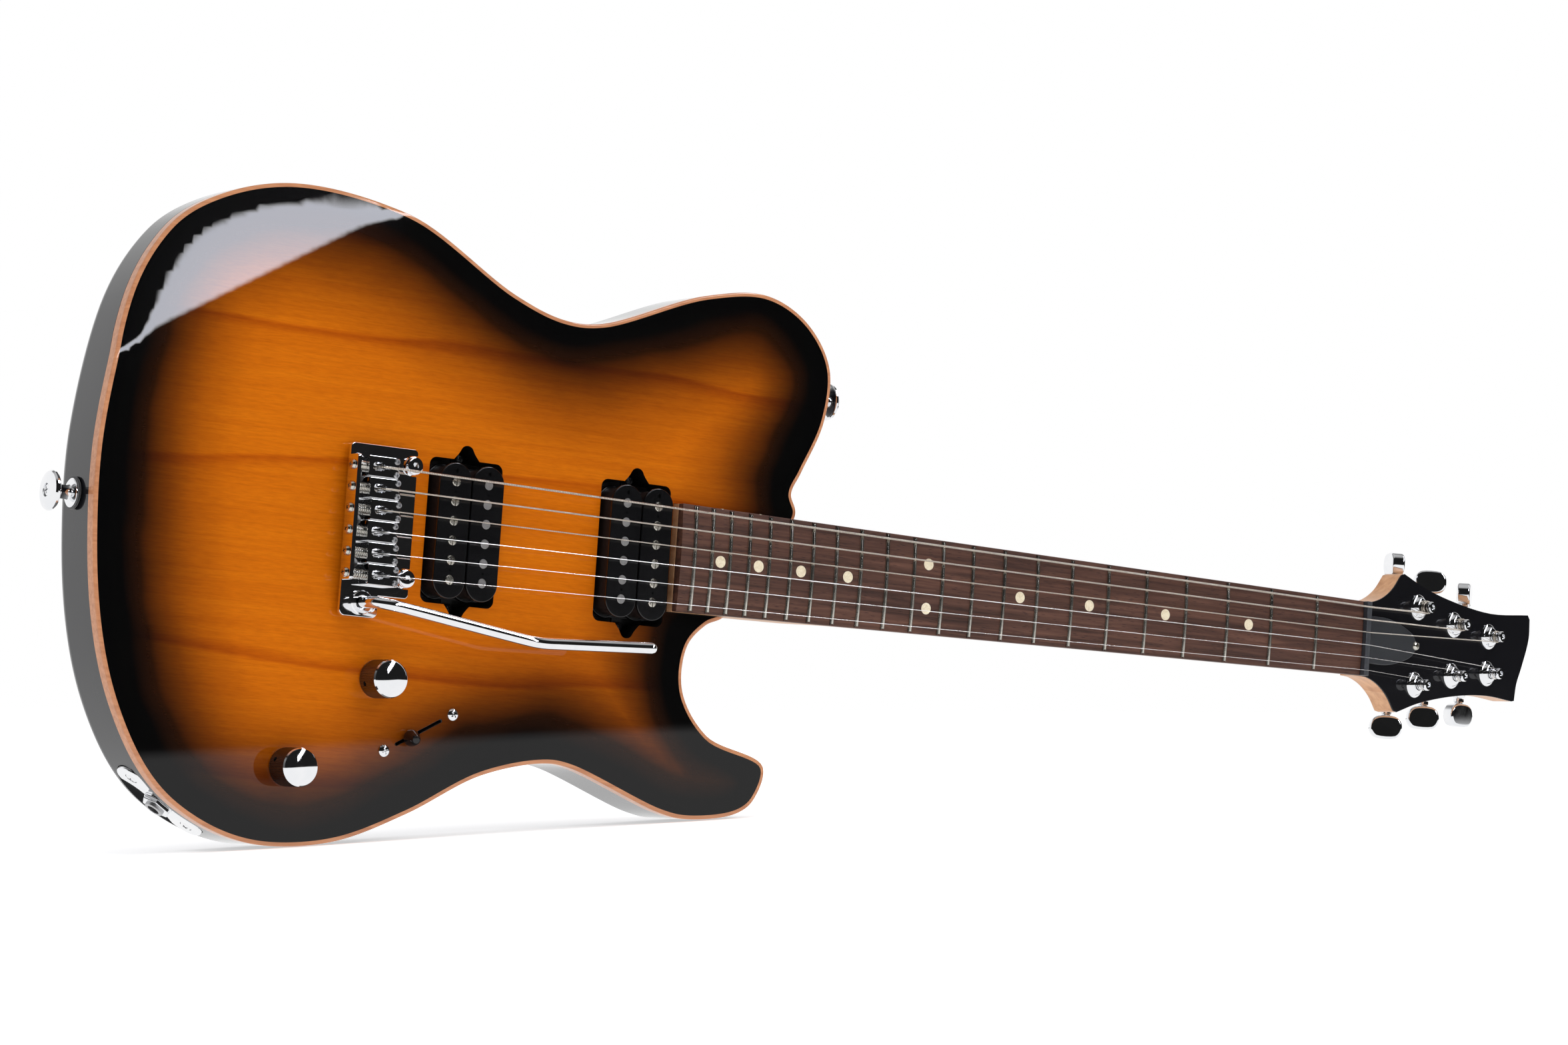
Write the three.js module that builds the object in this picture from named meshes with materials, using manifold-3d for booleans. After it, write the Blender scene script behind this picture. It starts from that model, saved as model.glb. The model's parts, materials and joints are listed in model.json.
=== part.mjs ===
// An electric guitar with a solid body, a two-point tremolo and two open-coil pickups.
//
// The guitar is drawn lying on its back, in millimetres: +X runs from the body to the headstock,
// +Y to the bass strings and +Z out of the face. X = 0 is the nut and Z = 0 the fingerboard.
// The last two groups stand it on its edge, bass side up, as it rests on a floor.
import * as THREE from 'three';
import { mergeVertices } from 'three/addons/utils/BufferGeometryUtils.js';
import Module from 'manifold-3d';

const wasm = await Module();
wasm.setup();

// Driving dimensions
const GAP = 0.3;
const SCALE_LENGTH = 648;
const FRET_COUNT = 22;
const NUT_WIDTH = 43;
const NUT_LENGTH = 5;
const BOARD_LENGTH = 474.5;
const BOARD_END_WIDTH = 56.6;
const BOARD_THICKNESS = 5.5;
const BOARD_RADIUS = 305;
const FRET_WIDTH = 2.4;
const FRET_HEIGHT = 1.1;
const NECK_TOP = -BOARD_THICKNESS - GAP;
const NECK_DEPTH_AT_NUT = 14.7;
const NECK_DEPTH_AT_BODY = 16.9;
const HEEL_DEPTH = 20;
const HEEL_START = -395;
const BODY_TOP = -10;
const BODY_THICKNESS = 43;
const BODY_BACK = BODY_TOP - BODY_THICKNESS;
const CAP_THICKNESS = 6.4;
const CAP_UNDERSIDE = BODY_TOP - CAP_THICKNESS;
const BACK_EDGE_RADIUS = 10;
const COVER_THICKNESS = 2;
const HEAD_TILT = THREE.MathUtils.degToRad(10);
const HEAD_FACE_AT_NUT = -3.5;
const HEAD_THICKNESS = 14.5;
const STRING_SPREAD_AT_NUT = 36.8;
const STRING_SPREAD_AT_BRIDGE = 54;
const STRING_HEIGHT_AT_NUT = 2.2;
const STRING_HEIGHT_AT_BRIDGE = 4.2;
const PLATE_TOP = -4.5;
const PLATE_THICKNESS = 2.5;
const STRING_HOLE_SETBACK = 8;
const STANDING_TILT = THREE.MathUtils.degToRad(6.9);

// Radii of the six strings, from the bass side to the treble side
const STRING_RADII = [0.58, 0.46, 0.33, 0.22, 0.17, 0.13];
// How far each string's saddle is set back from the scale length
const SADDLE_SETBACK = [4.5, 3.2, 2, 3, 2, 1];

const MATERIALS = {
  cap: material(0xc87018, 0.15, 0),
  black_lacquer: material(0x0c0c0e, 0.12, 0),
  maple: material(0xcd9a6c, 0.45, 0),
  rosewood: material(0x4a352e, 0.55, 0),
  graphite: material(0x2a2c30, 0.5, 0),
  chrome: material(0xd8dade, 0.08, 1),
  steel: material(0xa9abb0, 0.3, 1),
  black_plastic: material(0x101012, 0.4, 0),
  wound_string: material(0xb9b2a4, 0.35, 1),
};

// The body's outer edge, going round from the bass side of the neck
const BODY_OUTLINE = closedSpline([
  [-397, 30.5], [-400.5, 41.5], [-395, 53.5], [-382.5, 82], [-381, 111], [-396.5, 133],
  [-423.5, 145], [-463, 140], [-526, 117], [-549.5, 116], [-579.5, 125], [-640, 156],
  [-694, 165.5], [-728.5, 161], [-761.5, 145.5], [-778, 129], [-794, 98.5], [-806.5, 32],
  [-806, -21.5], [-800, -64.5], [-790, -97], [-774, -126.5], [-758.5, -143.5], [-739, -155.5],
  [-717, -163], [-694, -165], [-659.5, -160], [-621, -144], [-580, -122], [-543.5, -113],
  [-527.5, -114], [-469.5, -133.5], [-452, -135.5], [-422, -130.5], [-411.5, -122.5],
  [-407, -104.5], [-444, -91], [-461, -69], [-460, -45.5], [-449.5, -33.5], [-437, -27],
], 3);

// The six posts on the headstock: distance from the nut along the face, and side
const TUNERS = [
  { along: 54, side: 23.1, turn: 55 },
  { along: 89, side: 16, turn: -42 },
  { along: 123.5, side: 12, turn: 32 },
  { along: 123.5, side: -10.1, turn: 5 },
  { along: 89, side: -14.4, turn: 42 },
  { along: 54, side: -22.6, turn: 42 },
];
const POST_RADIUS = 3;
const POST_HEIGHT = 11;
const WORM_BELOW_FACE = 19.5;
const BUTTON_START = 20;

const PIVOT_STUDS = [30, -27];
const PIVOT_X = -636;
const ARM_SOCKET = new THREE.Vector2(-660, -41);
const VOLUME = new THREE.Vector2(-645, -78);
const TONE = new THREE.Vector2(-692, -125.5);
const SWITCH = new THREE.Vector2(-618, -102.8);
const SWITCH_ANGLE = THREE.MathUtils.degToRad(29);
const SWITCH_REST = THREE.MathUtils.degToRad(-15.5);
const SWITCH_PIVOT_Z = -30;
const JACK = new THREE.Vector2(-748, -145.5);
const JACK_ANGLE = THREE.MathUtils.degToRad(-33.7);
const EDGE_MIDDLE_Z = -31;
const PICKUPS = { neck: -498.5, bridge: -601.5 };

// Forearm contour: a slope that starts on a line across the bass lower bout
const CONTOUR_START = new THREE.Vector2(-795, 70);
const CONTOUR_DIRECTION = new THREE.Vector2(145, 84).normalize();
const CONTOUR_SLOPE = THREE.MathUtils.degToRad(11);

function material(color, roughness, metalness) {
  return new THREE.MeshStandardMaterial({ color, roughness, metalness });
}

// ---- Shapes ----

function closedSpline(pairs, pointsPerSpan) {
  const corners = pairs.map(([x, y]) => new THREE.Vector3(x, y, 0));
  const curve = new THREE.CatmullRomCurve3(corners, true, 'centripetal');
  const points = curve.getPoints(pairs.length * pointsPerSpan).slice(0, -1);
  return points.map((p) => new THREE.Vector2(p.x, p.y));
}

function openSpline(pairs, pointsPerSpan) {
  const corners = pairs.map(([x, y]) => new THREE.Vector3(x, y, 0));
  const curve = new THREE.CatmullRomCurve3(corners, false, 'centripetal');
  return curve.getPoints((pairs.length - 1) * pointsPerSpan).map((p) => new THREE.Vector2(p.x, p.y));
}

function solidOf(geometry) {
  const plain = geometry.clone();
  plain.deleteAttribute('normal');
  plain.deleteAttribute('uv');
  const merged = mergeVertices(plain, 1e-4);
  const vertProperties = new Float32Array(merged.attributes.position.array);
  const triVerts = new Uint32Array(merged.index.array);
  return new wasm.Manifold(new wasm.Mesh({ numProp: 3, vertProperties, triVerts }));
}

function geometryOf(solid) {
  const mesh = solid.getMesh();
  const geometry = new THREE.BufferGeometry();
  geometry.setAttribute('position', new THREE.BufferAttribute(mesh.vertProperties, 3));
  geometry.setIndex(new THREE.BufferAttribute(mesh.triVerts, 1));
  return geometry;
}

function join(...geometries) {
  const solids = geometries.map(solidOf);
  return geometryOf(solids.reduce((whole, next) => whole.add(next)));
}

function cut(geometry, ...cutters) {
  const solids = cutters.map(solidOf);
  return geometryOf(solids.reduce((whole, next) => whole.subtract(next), solidOf(geometry)));
}

function common(geometry, other) {
  return geometryOf(solidOf(geometry).intersect(solidOf(other)));
}

function prism(shapeOrPoints, low, high, curveSegments = 6) {
  const shape = Array.isArray(shapeOrPoints) ? new THREE.Shape(shapeOrPoints) : shapeOrPoints;
  const settings = { depth: high - low, bevelEnabled: false, curveSegments };
  return new THREE.ExtrudeGeometry(shape, settings).translate(0, 0, low);
}

function box(x0, x1, y0, y1, z0, z1) {
  const geometry = new THREE.BoxGeometry(x1 - x0, y1 - y0, z1 - z0);
  return geometry.translate((x0 + x1) / 2, (y0 + y1) / 2, (z0 + z1) / 2);
}

function cylinder(x, y, radius, low, high, sides = 20) {
  const geometry = new THREE.CylinderGeometry(radius, radius, high - low, sides);
  return geometry.rotateX(Math.PI / 2).translate(x, y, (low + high) / 2);
}

// A turned piece about Z, from pairs of radius and height
function turned(profile, sides = 20) {
  const points = profile.map(([radius, height]) => new THREE.Vector2(radius, height));
  return new THREE.LatheGeometry(points, sides).rotateX(Math.PI / 2);
}

function roundedRectangle(x0, x1, y0, y1, radius) {
  const shape = new THREE.Shape();
  shape.absarc(x1 - radius, y1 - radius, radius, 0, Math.PI / 2);
  shape.absarc(x0 + radius, y1 - radius, radius, Math.PI / 2, Math.PI);
  shape.absarc(x0 + radius, y0 + radius, radius, Math.PI, Math.PI * 1.5);
  shape.absarc(x1 - radius, y0 + radius, radius, Math.PI * 1.5, Math.PI * 2);
  shape.closePath();
  return shape;
}

// A slab through matching rings of points, closed at both ends. flatten gives a ring point's place
// in the end's own plane.
function loft(rings, flatten) {
  const size = rings[0].length;
  const positions = rings.flat().flatMap((p) => [p.x, p.y, p.z]);
  const triangles = [];
  for (let ring = 0; ring + 1 < rings.length; ring += 1) {
    for (let i = 0; i < size; i += 1) {
      const a = ring * size + i;
      const b = ring * size + ((i + 1) % size);
      triangles.push(a, b, b + size, a, b + size, a + size);
    }
  }
  const last = (rings.length - 1) * size;
  for (const [a, b, c] of endTriangles(rings[0].map(flatten))) {
    triangles.push(a, c, b);
  }
  for (const [a, b, c] of endTriangles(rings.at(-1).map(flatten))) {
    triangles.push(last + a, last + b, last + c);
  }
  const geometry = new THREE.BufferGeometry();
  geometry.setAttribute('position', new THREE.Float32BufferAttribute(positions, 3));
  geometry.setIndex(triangles);
  return solidOf(geometry).volume() < 0 ? turnedInsideOut(geometry) : geometry;
}

// Triangles that fill an outline and turn the same way round as it does
function endTriangles(outline) {
  const triangles = THREE.ShapeUtils.triangulateShape(outline, []);
  return THREE.ShapeUtils.isClockWise(outline) ? triangles.map(([a, b, c]) => [a, c, b]) : triangles;
}

function turnedInsideOut(geometry) {
  const index = geometry.index.array;
  for (let i = 0; i < index.length; i += 3) {
    [index[i], index[i + 1]] = [index[i + 1], index[i]];
  }
  return geometry;
}

// A round wire along a line of points, with its corners mitred
function wire(points, radius, sides = 6) {
  const side = new THREE.Vector3(0, 1, 0);
  const rings = points.map((point, i) => {
    const before = points[Math.max(i - 1, 0)];
    const after = points[Math.min(i + 1, points.length - 1)];
    const along = after.clone().sub(before).normalize();
    const across = side.clone().addScaledVector(along, -side.dot(along)).normalize();
    side.copy(across);
    const up = along.clone().cross(across);
    return Array.from({ length: sides }, (_, k) => {
      const angle = (2 * Math.PI * k) / sides;
      return point.clone()
        .addScaledVector(across, radius * Math.cos(angle))
        .addScaledVector(up, radius * Math.sin(angle));
    });
  });
  const flatten = (_, k) => {
    const angle = (2 * Math.PI * k) / sides;
    return new THREE.Vector2(Math.cos(angle), Math.sin(angle));
  };
  return loft(rings, flatten);
}

function boardHalfWidth(x) {
  const share = THREE.MathUtils.clamp(-x / BOARD_LENGTH, 0, 1);
  return THREE.MathUtils.lerp(NUT_WIDTH, BOARD_END_WIDTH, share) / 2;
}

function fretX(number) {
  return -SCALE_LENGTH * (1 - 2 ** (-number / 12));
}

// ---- Body ----

// The space under the cap's face, or under a face lowered by as much, with the forearm slope
function belowFace(top) {
  const half = 600;
  const slab = box(-half - 600, half - 600, -half, half, top - 80, top);
  const wedge = box(-half, half, 0, half, 0, half);
  wedge.rotateX(-CONTOUR_SLOPE);
  wedge.rotateZ(CONTOUR_DIRECTION.angle());
  wedge.translate(CONTOUR_START.x, CONTOUR_START.y, top);
  return cut(slab, wedge);
}

// The outward direction at each outline point, averaged over its neighbours so that an inset
// edge doesn't cross itself in a tight corner
function smoothNormals(outline, reach) {
  const count = outline.length;
  return outline.map((_, i) => {
    const sum = new THREE.Vector2();
    for (let k = -reach; k <= reach; k += 1) {
      const before = outline[(i + k - 1 + count) % count];
      const after = outline[(i + k + 1 + count) % count];
      sum.add(after.clone().sub(before).normalize());
    }
    sum.normalize();
    return new THREE.Vector2(sum.y, -sum.x);
  });
}

function bodyBackBlock() {
  const normals = smoothNormals(BODY_OUTLINE, 3);
  const steps = 3;
  const levels = [{ z: 0, inset: 0 }];
  for (let step = 0; step <= steps; step += 1) {
    const angle = (Math.PI / 2) * (step / steps);
    const z = BODY_BACK + BACK_EDGE_RADIUS * (1 - Math.sin(angle));
    levels.push({ z, inset: BACK_EDGE_RADIUS * (1 - Math.cos(angle)) });
  }
  const rings = levels.map(({ z, inset }) => BODY_OUTLINE.map((p, i) => {
    const q = p.clone().addScaledVector(normals[i], -inset);
    return new THREE.Vector3(q.x, q.y, z);
  }));
  return loft(rings, (p) => new THREE.Vector2(p.x, p.y));
}

function neckPocket() {
  const end = -BOARD_LENGTH - GAP;
  const mouth = -370;
  const points = [
    new THREE.Vector2(end, -boardHalfWidth(end) - GAP),
    new THREE.Vector2(mouth, -boardHalfWidth(mouth) - GAP),
    new THREE.Vector2(mouth, boardHalfWidth(mouth) + GAP),
    new THREE.Vector2(end, boardHalfWidth(end) + GAP),
  ];
  return prism(points, NECK_TOP - HEEL_DEPTH - GAP, 0);
}

// A pickup's opening, with a tapering ear at each end for its height screw
function pickupRout(x) {
  const floor = BODY_TOP - 20;
  const pocket = prism(roundedRectangle(x - 21.5, x + 21.5, -37, 37, 4), floor, 0, 3);
  const earOutline = openSpline([
    [-8, 36], [-4.6, 40.5], [-2.6, 43.6], [0, 44.5], [2.6, 43.6], [4.6, 40.5], [8, 36],
  ], 2);
  const bassEar = prism(earOutline, floor, 0).translate(x, 0, 0);
  const trebleEar = prism(earOutline, floor, 0).rotateZ(Math.PI).translate(x, 0, 0);
  return join(pocket, bassEar, trebleEar);
}

// The opening for the tremolo's block, whose rear edge leaves room for the block's swing
function blockSlot(rear) {
  return box(rear, -642.5, -33, 33, -60, 0);
}

function studHoles() {
  return PIVOT_STUDS.map((y) => cylinder(PIVOT_X, y, 5.3, -40, 0, 16));
}

function controlOutline(margin) {
  return closedSpline([
    [-732 - margin, -128], [-724, -140 - margin], [-680, -143 - margin], [-636, -133 - margin],
    [-593 + margin, -108], [-590 + margin, -84], [-620, -66 + margin], [-655, -62 + margin],
    [-700, -98 + margin], [-730 - margin, -114 + margin],
  ], 2);
}

function springOutline(margin) {
  return roundedRectangle(-675 - margin, -536 + margin, -34 - margin, 34 + margin, 6);
}

function jackCutters() {
  const recess = box(-29, 29, -2.3, 14, -13, 13);
  const bore = cylinder(0, 0, 10.5, -46, 2, 18).rotateX(-Math.PI / 2);
  return [recess, bore].map((g) => atJack(g));
}

// Moves a shape drawn with +Y pointing out of the jack's plate to its place on the edge
function atJack(geometry) {
  return geometry.rotateZ(JACK_ANGLE + Math.PI).translate(JACK.x, JACK.y, EDGE_MIDDLE_Z);
}

function bodyTop() {
  const block = common(prism(BODY_OUTLINE, -60, BODY_TOP + 1), belowFace(BODY_TOP));
  const cap = cut(block, belowFace(CAP_UNDERSIDE));
  return cut(
    cap,
    neckPocket(),
    pickupRout(PICKUPS.neck),
    pickupRout(PICKUPS.bridge),
    blockSlot(-669.5),
    ...studHoles(),
    ...[VOLUME, TONE].map((p) => cylinder(p.x, p.y, 4.3, -30, 0, 16)),
    atSwitch(box(-15, 15, -1.1, 1.1, -30, 0)),
  );
}

function bodyBack() {
  const block = common(bodyBackBlock(), belowFace(CAP_UNDERSIDE - GAP));
  const coverFloor = BODY_BACK + COVER_THICKNESS + GAP;
  return cut(
    block,
    neckPocket(),
    pickupRout(PICKUPS.neck),
    pickupRout(PICKUPS.bridge),
    blockSlot(-674),
    ...studHoles(),
    prism(springOutline(0), BODY_BACK - 1, BODY_BACK + 19, 3),
    prism(springOutline(4 + GAP), BODY_BACK - 1, coverFloor, 3),
    prism(controlOutline(0), BODY_BACK - 1, 0),
    prism(controlOutline(5 + GAP), BODY_BACK - 1, coverFloor),
    ...jackCutters(),
  );
}

function strapButton() {
  return turned([
    [0, 0], [7.5, 0], [7.5, 1.4], [3.6, 3], [3.6, 8.5], [9.6, 11.5],
    [10, 13.2], [8, 15], [0, 15],
  ], 16);
}

// ---- Neck ----

// Half of a neck section runs from the fingerboard's edge, round the back, to the other edge.
// A larger squareness makes the round back into a square heel.
function neckRing(x, halfWidth, depth, squareness, top = NECK_TOP) {
  const steps = 14;
  return Array.from({ length: steps + 1 }, (_, i) => {
    const angle = (Math.PI * i) / steps;
    const power = 2 / squareness;
    const y = halfWidth * Math.sign(Math.cos(angle)) * Math.abs(Math.cos(angle)) ** power;
    const z = top - depth * Math.sin(angle) ** power;
    return new THREE.Vector3(x, i * 2 === steps ? 0 : y, z);
  });
}

function neckShaft() {
  const rings = [
    neckRing(-BOARD_LENGTH, boardHalfWidth(-BOARD_LENGTH), HEEL_DEPTH, 14),
    neckRing(HEEL_START, boardHalfWidth(HEEL_START), HEEL_DEPTH, 14),
    neckRing(HEEL_START + 8, boardHalfWidth(HEEL_START), HEEL_DEPTH - 1, 5),
    neckRing(HEEL_START + 22, boardHalfWidth(HEEL_START + 22), NECK_DEPTH_AT_BODY + 0.8, 2.8),
  ];
  for (let x = HEEL_START + 45; x <= -20; x += 66) {
    const share = (x - HEEL_START) / -HEEL_START;
    const depth = THREE.MathUtils.lerp(NECK_DEPTH_AT_BODY, NECK_DEPTH_AT_NUT, share);
    rings.push(neckRing(x, boardHalfWidth(x), depth, 2.2));
  }
  rings.push(neckRing(-10, boardHalfWidth(0), NECK_DEPTH_AT_NUT, 2.4));
  rings.push(neckRing(12, boardHalfWidth(0) + 0.5, NECK_DEPTH_AT_NUT, 5));
  return loft(rings, (p) => new THREE.Vector2(p.y, p.z));
}

// The headstock's outline on its own face, from the nut's bass side round to its treble side
function headOutline() {
  return [
    new THREE.Vector2(2, 21.5),
    ...openSpline([[10, 22.2], [20, 25.5], [29, 31.5], [36.5, 40.5]], 3),
    ...openSpline([[39.5, 41.5], [60, 35], [90, 29.3], [125, 26], [162, 28.5]], 3),
    ...openSpline([[164, 26], [164, 14], [158, -4], [154, -14], [152.5, -24.3]], 3),
    ...openSpline([[150, -24.8], [125, -23.5], [95, -26], [60, -33], [39, -40]], 3),
    ...openSpline([[36, -39.5], [29, -31.5], [20, -25.5], [10, -22.2]], 3),
    new THREE.Vector2(2, -21.5),
  ];
}

// Places a shape drawn on the headstock's face, where X is the distance from the nut
function onHead(geometry) {
  return geometry.rotateY(HEAD_TILT).translate(0, 0, HEAD_FACE_AT_NUT);
}

function neck() {
  const head = cut(
    prism(headOutline(), -HEAD_THICKNESS, 0),
    ...TUNERS.map((t) => cylinder(t.along, t.side, POST_RADIUS + 1, -30, 5, 12)),
  );
  const nutShelf = box(-20, NUT_LENGTH + GAP, -30, 30, NECK_TOP, 20);
  const rodChannel = box(-440.5, 24, -3.3, 3.3, -15.5, 0);
  const rodPocket = box(NUT_LENGTH + GAP, 30, -6, 6, -15.5, 0);
  return cut(join(neckShaft(), onHead(head)), nutShelf, rodChannel, rodPocket);
}

function boardRing(x, rise, inset) {
  const half = boardHalfWidth(x) - inset;
  const steps = 4;
  const top = Array.from({ length: steps + 1 }, (_, i) => {
    const y = half * (1 - (2 * i) / steps);
    const drop = BOARD_RADIUS - Math.sqrt(BOARD_RADIUS ** 2 - y ** 2);
    return new THREE.Vector3(x, y, rise - drop);
  });
  const bottom = rise > 0 ? -1.5 : -BOARD_THICKNESS;
  return [...top, new THREE.Vector3(x, -half, bottom), new THREE.Vector3(x, half, bottom)];
}

function fingerboard() {
  const flatten = (p) => new THREE.Vector2(p.y, p.z);
  const board = loft([boardRing(-BOARD_LENGTH, 0, 0), boardRing(-GAP, 0, 0)], flatten);
  const frets = Array.from({ length: FRET_COUNT }, (_, i) => {
    const x = fretX(i + 1);
    const foot = FRET_WIDTH / 2;
    return loft([
      boardRing(x - foot, 0.15, 0.2),
      boardRing(x, FRET_HEIGHT, 0.6),
      boardRing(x + foot, 0.15, 0.2),
    ], flatten);
  });
  return join(board, ...frets);
}

function nut() {
  return box(0, NUT_LENGTH, -NUT_WIDTH / 2, NUT_WIDTH / 2, NECK_TOP + GAP, 1.2);
}

function trussRod() {
  const rod = box(-440, 14, -3, 3, -15.2, -6.2);
  const adjuster = cylinder(0, 0, 4, 6, 17, 6).rotateY(Math.PI / 2).translate(0, 0, -11);
  return join(rod, adjuster);
}

function trussRodCover() {
  const edge = openSpline([[8, 13.8], [24, 13.6], [38, 10.5], [48, 6], [52, 0]], 3);
  const other = edge.slice(0, -1).reverse().map((p) => new THREE.Vector2(p.x, -p.y));
  return onHead(prism([...edge, ...other], GAP, 2.3));
}

// ---- Tuning machines ----

function outward(tuner) {
  return Math.sign(tuner.side);
}

function tunerHousing(tuner) {
  const side = outward(tuner);
  const top = -HEAD_THICKNESS - GAP;
  const gearCase = prism(
    roundedRectangle(tuner.along - 7, tuner.along + 7, -8, 8, 4), top - 10, top, 2,
  ).translate(0, tuner.side, 0);
  const neckOfCase = cylinder(0, 0, 4.2, 0, 15, 10).rotateX(-Math.PI / 2 * side)
    .translate(tuner.along, tuner.side, -WORM_BELOW_FACE);
  const postBore = cylinder(tuner.along, tuner.side, POST_RADIUS + GAP, top - 6, top + 1, 10);
  const wormBore = cylinder(0, 0, 2.1 + GAP, 9, 16, 8).rotateX(-Math.PI / 2 * side)
    .translate(tuner.along, tuner.side, -WORM_BELOW_FACE);
  return onHead(cut(join(gearCase, neckOfCase), postBore, wormBore));
}

function tunerPost(tuner) {
  const foot = -HEAD_THICKNESS - 5;
  const post = turned([
    [0, foot], [POST_RADIUS, foot], [POST_RADIUS, 5], [2.5, 7], [3.4, 9],
    [2.8, POST_HEIGHT], [0, POST_HEIGHT],
  ], 10).translate(tuner.along, tuner.side, 0);
  return onHead(post);
}

function tunerButton(tuner) {
  const side = outward(tuner);
  const shape = new THREE.Shape();
  shape.moveTo(-3.5, 0);
  shape.bezierCurveTo(-7, 0.5, -9.6, 2.5, -9.6, 7);
  shape.bezierCurveTo(-9.5, 11.5, -6, 13.6, 0, 13.6);
  shape.bezierCurveTo(6, 13.6, 9.5, 11.5, 9.6, 7);
  shape.bezierCurveTo(9.6, 2.5, 7, 0.5, 3.5, 0);
  shape.closePath();
  const settings = {
    depth: 4, bevelEnabled: true, bevelThickness: 2, bevelSize: 1.6, bevelOffset: -1.6,
    bevelSegments: 1, curveSegments: 3,
  };
  const grip = new THREE.ExtrudeGeometry(shape, settings).translate(0, BUTTON_START - 1.5, -2);
  const shaft = cylinder(0, 0, 2.1, 9.5, BUTTON_START + 2, 8).rotateX(-Math.PI / 2);
  const button = join(grip, shaft);
  button.rotateY(THREE.MathUtils.degToRad(tuner.turn));
  if (side < 0) {
    button.rotateZ(Math.PI);
  }
  return onHead(button.translate(tuner.along, tuner.side, -WORM_BELOW_FACE));
}

// ---- Strings ----

function stringSide(index, spread) {
  return spread * (0.5 - index / 5);
}

function saddleX(index) {
  return -SCALE_LENGTH - SADDLE_SETBACK[index];
}

function guitarString(index) {
  const tuner = TUNERS[index];
  const radius = STRING_RADII[index];
  const clear = POST_RADIUS + GAP + radius;
  const onPost = new THREE.Vector3(tuner.along, tuner.side - outward(tuner) * clear, 6.5)
    .applyAxisAngle(new THREE.Vector3(0, 1, 0), HEAD_TILT);
  onPost.z += HEAD_FACE_AT_NUT;
  const nutY = stringSide(index, STRING_SPREAD_AT_NUT);
  const bridgeY = stringSide(index, STRING_SPREAD_AT_BRIDGE);
  const x = saddleX(index);
  return wire([
    onPost,
    new THREE.Vector3(NUT_LENGTH, nutY, STRING_HEIGHT_AT_NUT - 0.3),
    new THREE.Vector3(0, nutY, STRING_HEIGHT_AT_NUT),
    new THREE.Vector3(x + 1, bridgeY, STRING_HEIGHT_AT_BRIDGE),
    new THREE.Vector3(x - 1, bridgeY, STRING_HEIGHT_AT_BRIDGE),
    new THREE.Vector3(x - 4, bridgeY, STRING_HEIGHT_AT_BRIDGE - 0.9),
    new THREE.Vector3(x - STRING_HOLE_SETBACK, bridgeY, PLATE_TOP - 1),
    new THREE.Vector3(x - STRING_HOLE_SETBACK, bridgeY, PLATE_TOP - 14),
  ], radius);
}

// ---- Bridge ----

function bridgePlate() {
  const bottom = PLATE_TOP - PLATE_THICKNESS;
  const plate = prism(roundedRectangle(-671.5, -633, -37, 38.5, 2), bottom, PLATE_TOP, 3);
  const armTab = prism(roundedRectangle(-671.5, -651, -47, -30, 3), bottom, PLATE_TOP, 3);
  const flange = box(-671.5, -669.2, -30, 32, PLATE_TOP - 1, 3.2);
  const socket = cylinder(ARM_SOCKET.x, ARM_SOCKET.y, 5.2, bottom, PLATE_TOP + 1.5, 18);
  return cut(
    join(plate, armTab, flange, socket),
    cylinder(ARM_SOCKET.x, ARM_SOCKET.y, 3 + GAP, bottom + 1, 10, 16),
    ...PIVOT_STUDS.map((y) => cylinder(PIVOT_X, y, 5.2, -20, 0, 14)),
    ...PIVOT_STUDS.map((y) => box(PIVOT_X, -630, y - 5.2, y + 5.2, -20, 0)),
    ...STRING_RADII.map((_, i) => cylinder(
      saddleX(i) - STRING_HOLE_SETBACK, stringSide(i, STRING_SPREAD_AT_BRIDGE), 1.8, -20, 0, 8,
    )),
  );
}

function sustainBlock() {
  const top = PLATE_TOP - PLATE_THICKNESS - GAP;
  return cut(
    box(-665, -648, -31.5, 31.5, -46, top),
    ...STRING_RADII.map((_, i) => cylinder(
      saddleX(i) - STRING_HOLE_SETBACK, stringSide(i, STRING_SPREAD_AT_BRIDGE), 1.8, -60, 0, 8,
    )),
  );
}

function saddle(index) {
  const x = saddleX(index);
  const y = stringSide(index, STRING_SPREAD_AT_BRIDGE);
  const low = PLATE_TOP + GAP;
  const crown = STRING_HEIGHT_AT_BRIDGE - STRING_RADII[index] - GAP;
  const front = x + 5.5;
  const side = new THREE.Shape();
  side.moveTo(x - 12.5, low);
  side.lineTo(front, low);
  side.lineTo(front, crown - 2.5);
  side.quadraticCurveTo(front - 1, crown, x + 1.2, crown);
  side.lineTo(x - 1.2, crown);
  side.quadraticCurveTo(x - 4, crown - 0.4, x - 5, crown - 1);
  side.lineTo(x - 12.5, crown - 1);
  side.closePath();
  const width = 10.3;
  const block = prism(side, -width / 2, width / 2, 3).rotateX(Math.PI / 2).translate(0, y, 0);
  const slot = prism(roundedRectangle(x - 10, x - 2.2, y - 1.9, y + 1.9, 1.8), -20, 20, 3);
  return cut(block, slot);
}

function pivotStud(y) {
  return turned([
    [0, -34], [5, -34], [5, -10], [3.2, -9.5], [3.2, -3.9], [4.6, -3.4], [4.6, -1.6],
    [4, -1], [0, -1],
  ], 12).translate(PIVOT_X, y, 0);
}

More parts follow.
